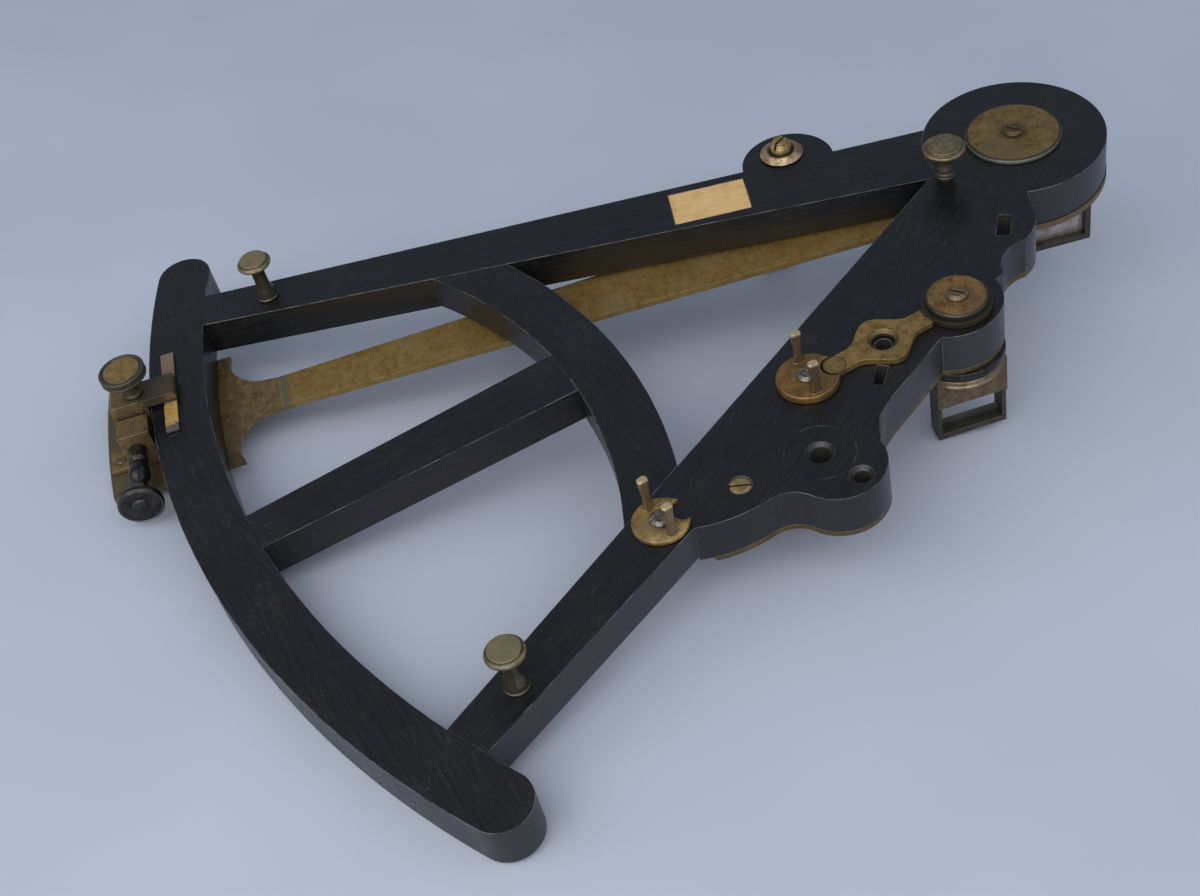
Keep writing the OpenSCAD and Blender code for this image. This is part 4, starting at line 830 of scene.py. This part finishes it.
# %% [markdown]
# ## The lathe
# Radii times the cosine and sine of the angle, plus the height along the axis, give the whole surface at once
# as a grid of places. The same grid can be milled, by a cosine wave round the rim, or filed flat on two sides.
# A turned node says itself where its axis is and how wide and high it stands.

# %% A lathe in numpy
TURNS, STEPS_A_TOOTH, RIM_DEEP = 96, 4, 1.0


def turned_size(name, axes=flat_axes):
    """Axis place, radius, lowest and highest height of a turned node: middle and half width of its corners."""
    spots = corners(name, axes)
    low, high = spots.min(0), spots.max(0)
    return [*(low + high)[:2] / 2, 0.0], (high - low)[0] / 2, low[2], high[2]


def lathe(profile, centre, axes, teeth=None, flats=None):
    """Grid of places: along the profile by round the axis. Teeth (count, depth, low, high) mill a rim, and
    flats holds the first coordinate within that distance of the axis, as two filed sides do."""
    angle = np.arange(TURNS if teeth is None else teeth[0] * STEPS_A_TOOTH) * 2 * np.pi
    angle = angle / len(angle)
    radius = np.repeat(profile[:, :1], len(angle), 1)
    if teeth is not None:
        count, depth, low, high = teeth
        rim = profile[:, 0] > profile[:, 0].max() - RIM_DEEP
        band = (profile[:, 1] > low) & (profile[:, 1] < high) & rim
        radius = radius - band[:, None] * depth * (1 + np.cos(count * angle)) / 2
    height = np.repeat(profile[:, 1:], len(angle), 1)
    local = np.stack([radius * np.cos(angle), radius * np.sin(angle), height], -1)
    if flats is not None:
        local[..., 0] = np.clip(local[..., 0], -flats, flats)
    return pivot + (local + centre) @ axes * MM


print("lathe ready with", TURNS, "steps a turn")

# %% [markdown]
# ## From grid to piece
# A grid of places becomes a mesh by joining each place to its neighbours. The second direction runs round, so
# its last column joins its first, and a flat face closes each end. Smooth shading is broken where two faces
# meet at more than a set angle. The finished piece takes the place of a node and rides on that node's body.

# %% Skin and stand-in
SHARP = 32.0


def skin(name, grids, material, sharp=SHARP):
    """One mesh from grids of places that close round their second direction, with a face at each end."""
    spots, faces, start = [], [], 0
    for grid in grids:
        rows, columns = grid.shape[:2]
        ring = start + np.arange(rows * columns).reshape(rows, columns)
        after = np.roll(ring, -1, 1)
        faces += np.stack([ring[:-1], after[:-1], after[1:], ring[1:]], -1).reshape(-1, 4).tolist()
        faces += [ring[0, ::-1].tolist(), ring[-1].tolist()]
        spots.append(grid.reshape(-1, 3))
        start += rows * columns
    mesh = bpy.data.meshes.new(name)
    mesh.from_pydata(np.concatenate(spots).tolist(), [], faces)
    mesh.shade_smooth()
    mesh.set_sharp_from_angle(angle=np.radians(sharp))
    mesh.materials.append(material)
    piece = bpy.data.objects.new(name, mesh)
    bpy.context.scene.collection.objects.link(piece)
    return piece


def stand_in_for(piece, node, body):
    """Lets a new piece ride on a body in place of a node."""
    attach(piece, body)
    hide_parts(node)


print("corners over", SHARP, "degrees stay sharp")

# %% [markdown]
# ## Three feet
# The octant was laid down on three brass feet. Two are trumpets that flare to a round base; the one beside
# the apex is a baluster with two rings, shorter and broader. All have a flat head with a bead round its rim and
# a groove inside the bead. The profile starts inside the wood, where the foot's pin is. Heights and radii are
# shares of the foot's own, so one profile fits feet of different sizes.

# %% Feet
BASE_R, NECK_R, PIN_R, PIN_DEEP = 4.2, 2.5, 2.0, 9.0
PROUD, BASE_EDGE, RIM_BEAD, GROOVE, CROWN = 0.02, 0.35, 0.75, 0.3, 0.2


def foot_head(h, r):
    """Underside, bead, groove and a disc whose crown is the square of the distance from its middle."""
    crown = np.linspace(1.0, 0.05, 7)
    disc = np.stack([r * 0.8 * crown, h - CROWN * crown ** 2], 1)
    return np.concatenate([
        line((r * 0.86, h * 0.83)), bead(r - RIM_BEAD, h * 0.885, RIM_BEAD, -80.0, 85.0),
        bead(r * 0.845, h * 0.948, GROOVE, -30.0, -170.0, 5), disc])


def trumpet(h, r):
    """A base with a rounded edge, a flare to the neck and a flare to the head."""
    neck = NECK_R * 0.97
    return np.concatenate([
        line((PIN_R, -PIN_DEEP), (PIN_R, PROUD), (BASE_R - 0.3, PROUD)),
        bead(BASE_R - BASE_EDGE, 0.4, BASE_EDGE, -80.0, 60.0, 6), ease(BASE_R * 0.9, h * 0.05, neck, h * 0.4),
        ease(neck, h * 0.58, r * 0.5, h * 0.82), foot_head(h, r)])


def baluster(h, r):
    """A small base, two rings with a groove between them, a taper to the neck and a flare to the head."""
    ring, lower, upper = BASE_R * 0.92, 0.45, 0.5
    return np.concatenate([
        line((PIN_R, -PIN_DEEP), (PIN_R, PROUD)), ease(BASE_R * 0.6, PROUD, ring * 0.93, h * 0.16),
        bead(ring - lower, h * 0.2, lower, -60.0, 70.0, 7), bead(ring - upper, h * 0.28, upper, -70.0, 60.0, 7),
        ease(ring * 0.9, h * 0.33, NECK_R, h * 0.55), ease(NECK_R, h * 0.64, r * 0.5, h * 0.82),
        foot_head(h, r)])


for name, stem in (("foot_apex", baluster), ("foot_left", trumpet), ("foot_right", trumpet)):
    centre, head_r, low, top = turned_size(name)
    foot = skin(name + "_turned", [lathe(stem(top, head_r), centre, flat_axes)], foot_brass)
    stand_in_for(foot, name, "frame")
    print(name, "head", round(float(head_r * 2), 1), "mm wide,", len(foot.data.polygons), "faces")

# %% [markdown]
# ## Clamp screw
# The clamp is tightened with finger and thumb, so the rim of its head is milled: a fine cosine cut round the
# edge, between two plain beads. A bump in the finish would leave the outline smooth, so the teeth are cut into
# the grid itself. A turned line on the flat top sets off the milled border.

# %% Clamp screw
HEAD_T, STALK_R, STALK_H, SHANK_R = 3.2, 2.6, 8.2, 2.0
TEETH, TOOTH, PLAIN = 54, 0.32, 0.9
COLLAR, HEAD_BEAD, BEAD_IN, TURNED_LINE, HEAD_CROWN = 0.5, 0.4, 0.42, 0.28, 0.12

centre, head_r, low, top = turned_size("clamp_screw")
under, deck = top - HEAD_T, top - HEAD_T - STALK_H
border = np.linspace(0.78, 0.05, 5)
clamp_profile = np.concatenate([
    line((SHANK_R, low), (SHANK_R, deck + PROUD)), bead(STALK_R + 0.35, deck + 0.6, COLLAR, -80.0, 80.0),
    ease(STALK_R + 0.2, deck + 1.4, STALK_R, under - 4.0), ease(STALK_R, under - 3.4, head_r * 0.55, under),
    line((head_r - 0.7, under + 0.05)), bead(head_r - BEAD_IN, under + 0.45, HEAD_BEAD, -80.0, 60.0, 7),
    wall(head_r - 0.05, under + PLAIN + 0.05, top - PLAIN - 0.05, 7),
    bead(head_r - BEAD_IN, top - 0.45, HEAD_BEAD, -60.0, 90.0, 7),
    bead(head_r * 0.83, top, TURNED_LINE, 0.0, -180.0, 7),
    np.stack([head_r * border, top - HEAD_CROWN * border ** 2], 1)])
milled = lathe(clamp_profile, centre, flat_axes, (TEETH, TOOTH, under + PLAIN, top - PLAIN))
clamp_knob = skin("clamp_screw_milled", [milled], knob_brass)
stand_in_for(clamp_knob, "clamp_screw", "clamp_knob")
print("clamp head", round(float(head_r * 2), 1), "mm wide with", TEETH, "teeth")

# %% [markdown]
# ## Tangent screw
# The fine adjustment is a steel screw with a vase-shaped stem and a flat round head, which ends in a small
# button. Its axis lies across the arm, so the same lathe runs in a frame whose third axis is the slide's.
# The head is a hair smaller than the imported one, so that the dressed octant never outgrows its box.

# %% Tangent screw
ROD_R, VASE_R, STEM_L, VASE_FROM, KNOB_T, KNOB_IN = 2.8, 3.7, 25.0, 5.0, 2.4, 0.1
SPIGOT_R, SPIGOT_L, BUTTON_H, VASE_RING, KNOB_ROUND, FACE_LINE = 2.0, 7.9, 0.6, 0.62, 0.52, 0.2

screw_axes = np.stack([np.cross(up, screw_line), up, screw_line])
centre, knob_r, start, tail = turned_size("tangent_screw", screw_axes)
knob_r -= KNOB_IN
face = tail - BUTTON_H
rim, vase = face - KNOB_T, face - KNOB_T - STEM_L + VASE_FROM
flat_face = np.linspace(0.86, 0.42, 4)
tangent_profile = np.concatenate([
    line((SPIGOT_R, start), (SPIGOT_R, start + SPIGOT_L), (ROD_R, start + SPIGOT_L), (ROD_R, vase - 0.3)),
    bead(ROD_R - 0.05, vase + 0.65, VASE_RING, -85.0, 85.0),
    ease(ROD_R * 0.86, vase + 1.6, VASE_R, vase + STEM_L * 0.27, 14),
    ease(VASE_R, vase + STEM_L * 0.31, ROD_R * 0.74, vase + STEM_L * 0.5, 12),
    bead(ROD_R * 0.85, vase + STEM_L * 0.56, VASE_RING, -85.0, 85.0),
    ease(ROD_R * 0.8, vase + STEM_L * 0.61, ROD_R * 1.2, rim, 5),
    line((knob_r - 0.8, rim + 0.05)), bead(knob_r - 0.55, rim + 0.6, KNOB_ROUND, -80.0, 10.0, 7),
    line((knob_r - 0.04, face - 0.4), (knob_r - 0.4, face)),
    bead(knob_r * 0.88, face, FACE_LINE, 0.0, -180.0, 5),
    np.stack([knob_r * flat_face, np.full(4, face - 0.05)], 1),
    line((ROD_R - 0.1, face - 0.1)), bead(ROD_R - 0.7, tail - 0.62, 0.6, -10.0, 88.0, 6)])
tangent_knob = skin("tangent_screw_turned", [lathe(tangent_profile, centre, screw_axes)], black_steel)
stand_in_for(tangent_knob, "tangent_screw", "tangent_knob")
print("tangent head", round(float(knob_r * 2), 1), "mm wide, screw", round(float(tail - start), 1), "mm long")

# %% [markdown]
# ## Base of the horizon mirror
# The mirror turns on two discs under the wood. The upper one is plain and dark. The lower one is brass with a
# groove under the upper disc, a lip, a hollow and a rounded lower rim, which catches the light. Both are
# profiles for the same lathe, as high and as wide as the nodes they stand in for.

# %% Two discs of the mirror's base
DISC_EDGE, RING_ROUND, LIP, GROOVE_DEEP, GROOVE_H = 0.3, 0.75, 0.5, 1.3, 0.8


def plain_disc(low, high, r):
    """A disc with both corners rounded off."""
    return np.concatenate([
        bead(r - DISC_EDGE, low + DISC_EDGE, DISC_EDGE, -85.0, 0.0, 4),
        bead(r - DISC_EDGE, high - DISC_EDGE, DISC_EDGE, 0.0, 85.0, 4)])


def grooved_disc(low, high, r):
    """A rounded lower rim, a hollow, a lip and a groove below the disc above."""
    return np.concatenate([
        line((r - 0.9, low)), bead(r - RING_ROUND, low + RING_ROUND, 0.72, -80.0, 60.0, 7),
        line((r - 0.45, low + 1.9)), bead(r - LIP, high - 1.5, LIP, -40.0, 80.0, 6),
        line((r - GROOVE_DEEP, high - GROOVE_H), (r - GROOVE_DEEP, high))])


for name, shape, material, slot in (
        ("horizon_seat", plain_disc, black_steel, "dark_bronze"),
        ("horizon_ring", grooved_disc, ring_brass, "brass")):
    centre, disc_r, low, high = turned_size(name)
    disc = skin(name + "_turned", [lathe(shape(low, high, disc_r), centre, flat_axes)], material)
    stand_in_for(disc, name, "horizon")
    print(name, round(float(disc_r * 2), 1), "mm wide")

# %% [markdown]
# ## Outline of the adjusting discs
# Each mirror is trimmed by a disc with two finger pegs and a notch that holds the tip of a lever. The outline
# is the disc's rim, broken where the notch's circle cuts it: two arcs end to end. The lips where they meet
# follow from the law of cosines in the triangle of disc centre, notch centre and lip.

# %% Notched outline
LIP_FADE, RIM_STEPS, NOTCH_STEPS = 1.2, 120, 30


def notched_outline(r, reach, notch_r, turn):
    """Points and inward normals of a disc's rim, then of the notch whose centre lies at a reach from the
    middle. The normals fade out towards the two lips, where rim and notch meet."""
    half = np.arccos((r ** 2 + reach ** 2 - notch_r ** 2) / (2 * r * reach))
    lip = np.arctan2(r * np.sin(half), r * np.cos(half) - reach)
    rim = np.linspace(half, 2 * np.pi - half, RIM_STEPS)
    notch = np.linspace(2 * np.pi - lip, lip, NOTCH_STEPS)[1:-1]
    outward = np.stack([np.cos(rim), np.sin(rim)], 1)
    inward = np.stack([np.cos(notch), np.sin(notch)], 1)
    points = np.concatenate([r * outward, notch_r * inward + [reach, 0.0]])
    normals = np.concatenate([-outward, inward])
    from_lip = np.linalg.norm(points[:, None] - points[[0, RIM_STEPS - 1]][None], axis=2).min(1)
    normals = normals * np.clip(from_lip / LIP_FADE, 0.0, 1.0)[:, None]
    spin = np.array([[np.cos(turn), np.sin(turn)], [-np.sin(turn), np.cos(turn)]])
    return points @ spin, normals @ spin


print("outline of", RIM_STEPS + NOTCH_STEPS - 2, "points")

# %% [markdown]
# ## Adjusting discs
# Carrying a small rim profile along the outline, inwards along its normals, gives the edge its worn roundness;
# the flat faces close it. The pegs are turned with a waist and then filed on two sides for the fingers.

# %% Notched discs with pegs
LIFT, NOTCH_R, DISC_SHARP = 0.3, 4.3, 40.0
PEG_SHARE, PEG_R, PEG_T, PEG_WAIST, PEG_ROUND = 0.74, 1.75, 2.3, 0.35, 0.5
RIM_INSET, RIM_SHARE = np.array([0.0, 0.0, 0.12, 0.4]), np.array([0.0, 0.55, 0.85, 1.0])


def peg_profile(root, deck, top):
    """A foot let into the disc, a taper to the waist, a flare to the end and a rounded end."""
    waist = deck + (top - deck) * PEG_WAIST
    return np.concatenate([
        line((PEG_R * 1.1, root), (PEG_R * 1.1, deck)), ease(PEG_R, deck + 0.4, PEG_R * 0.76, waist, 6),
        ease(PEG_R * 0.78, waist + 1.0, PEG_R, top - 0.8, 6),
        bead(PEG_R - PEG_ROUND, top - PEG_ROUND, PEG_ROUND, 10.0, 85.0, 5)])


def disc_piece(name, body, material, r, thick, reach, notch_turn, peg_turn):
    """A notched disc: a rim profile along the outline, flat caps and two pegs, turned by degrees."""
    centre = np.array([*to_flat(joints[body + "_turn"]["pos_m"])[:2], 0.0])
    points, normals = notched_outline(r, reach, NOTCH_R, UPRIGHT + np.radians(notch_turn))
    rim = np.stack([RIM_INSET, LIFT + thick * RIM_SHARE], 1)
    plan = points[None] + rim[:, None, :1] * normals[None]
    walls = np.concatenate([plan, np.repeat(rim[:, None, 1:], len(points), 1)], -1)
    peg = peg_profile(LIFT + thick * 0.5, LIFT + thick, turned_size(name)[-1])
    spin = np.array(Matrix.Rotation(-np.radians(peg_turn), 3, "Z"))
    pegs = [lathe(peg, spin @ centre + (way * r * PEG_SHARE, 0.0, 0.0), spin @ flat_axes, flats=PEG_T / 2)
            for way in (-1, 1)]
    piece = skin(name + "_disc", [from_flat(centre + walls), *pegs], material, DISC_SHARP)
    stand_in_for(piece, name, body)
    print(name, "disc", round(r * 2, 1), "mm wide,", len(piece.data.polygons), "faces")


disc_piece(
    "mirror_wing", "mirror_disc", wing_brass,
    r=10.2, thick=2.4, reach=9.4, notch_turn=-8.0, peg_turn=-12.0)
disc_piece(
    "back_wing", "back_disc", worn_brass,
    r=9.0, thick=1.5, reach=8.2, notch_turn=-3.0, peg_turn=3.0)

# %% [markdown]
# ## Table
# The picture was taken on a pale blue-grey table. It is a wide sheet with a faint mottle, far larger than the
# picture, so that its edge never shows, and a fine tooth that takes the gloss off.

# %% Table
TABLE_HALF, TABLE_DROP = 4.0, 0.00065
TABLE_CLOUD, TOOTH_SIZE, TOOTH_DEPTH = 140.0, 0.9, 0.01


def table_top():
    """A square sheet: X and Y run over a grid of two by two, Z stays just under the octant's rest points."""
    side = np.array([-TABLE_HALF, TABLE_HALF])
    x, y = np.meshgrid(side, side, indexing="ij")
    points = np.stack([x, y, np.full_like(x, -TABLE_DROP)], -1).reshape(-1, 3)
    mesh = bpy.data.meshes.new("table")
    mesh.from_pydata(points.tolist(), [], [(0, 2, 3, 1)])
    return bpy.data.objects.new("table", mesh)


def table_paper():
    """Pale blue-grey with clouds of a hand's width and a fine tooth."""
    paper = Finish("table_paper")
    place = paper.place()
    cloud = paper.noise(place, TABLE_CLOUD, 2.0)
    tooth = paper.noise(place, TOOTH_SIZE, 2.0)
    colour = paper.blend(paper.ramp(cloud, 0.3, 0.7), tint(180, 186, 200), tint(186, 192, 205))
    return paper.surface(
        Base_Color=colour, Roughness=0.62, Normal=paper.bump(tooth, TOOTH_DEPTH, paper.own_normal()))


table = table_top()
table.data.materials.append(table_paper())
bpy.context.scene.collection.objects.link(table)
print("table", TABLE_HALF * 2, "m wide")

# %% [markdown]
# ## Light
# Three broad lamps stand round the table, the strongest in front, so that no shadow is hard, and none stands
# where the polished tops would mirror it. Each aims at the origin. The room is a plain world colour, which is
# what the wood reflects.

# %% Lamps and room
LAMP_WIDTH = 1.8
LAMPS = (
    ("front_lamp", Vector((1.1, -0.75, 1.0)), 19.0),
    ("left_lamp", Vector((0.25, -1.35, 1.0)), 14.5),
    ("right_lamp", Vector((0.97, 0.75, 1.3)), 6.0))
ROOM = (0.22, 0.255, 0.32, 1.0)

for name, spot, watts in LAMPS:
    lamp_data = bpy.data.lights.new(name, "AREA")
    lamp_data.size = LAMP_WIDTH
    lamp_data.energy = watts
    lamp = bpy.data.objects.new(name, lamp_data)
    lamp.location = spot
    lamp.rotation_mode = "QUATERNION"
    lamp.rotation_quaternion = (-spot).to_track_quat("-Z", "Y")
    bpy.context.scene.collection.objects.link(lamp)

world = bpy.data.worlds.new("room")
world.use_nodes = True
world.node_tree.nodes["Background"].inputs["Color"].default_value = ROOM
bpy.context.scene.world = world
print(len(LAMPS), "lamps of", LAMP_WIDTH, "m, room", ROOM[:3])
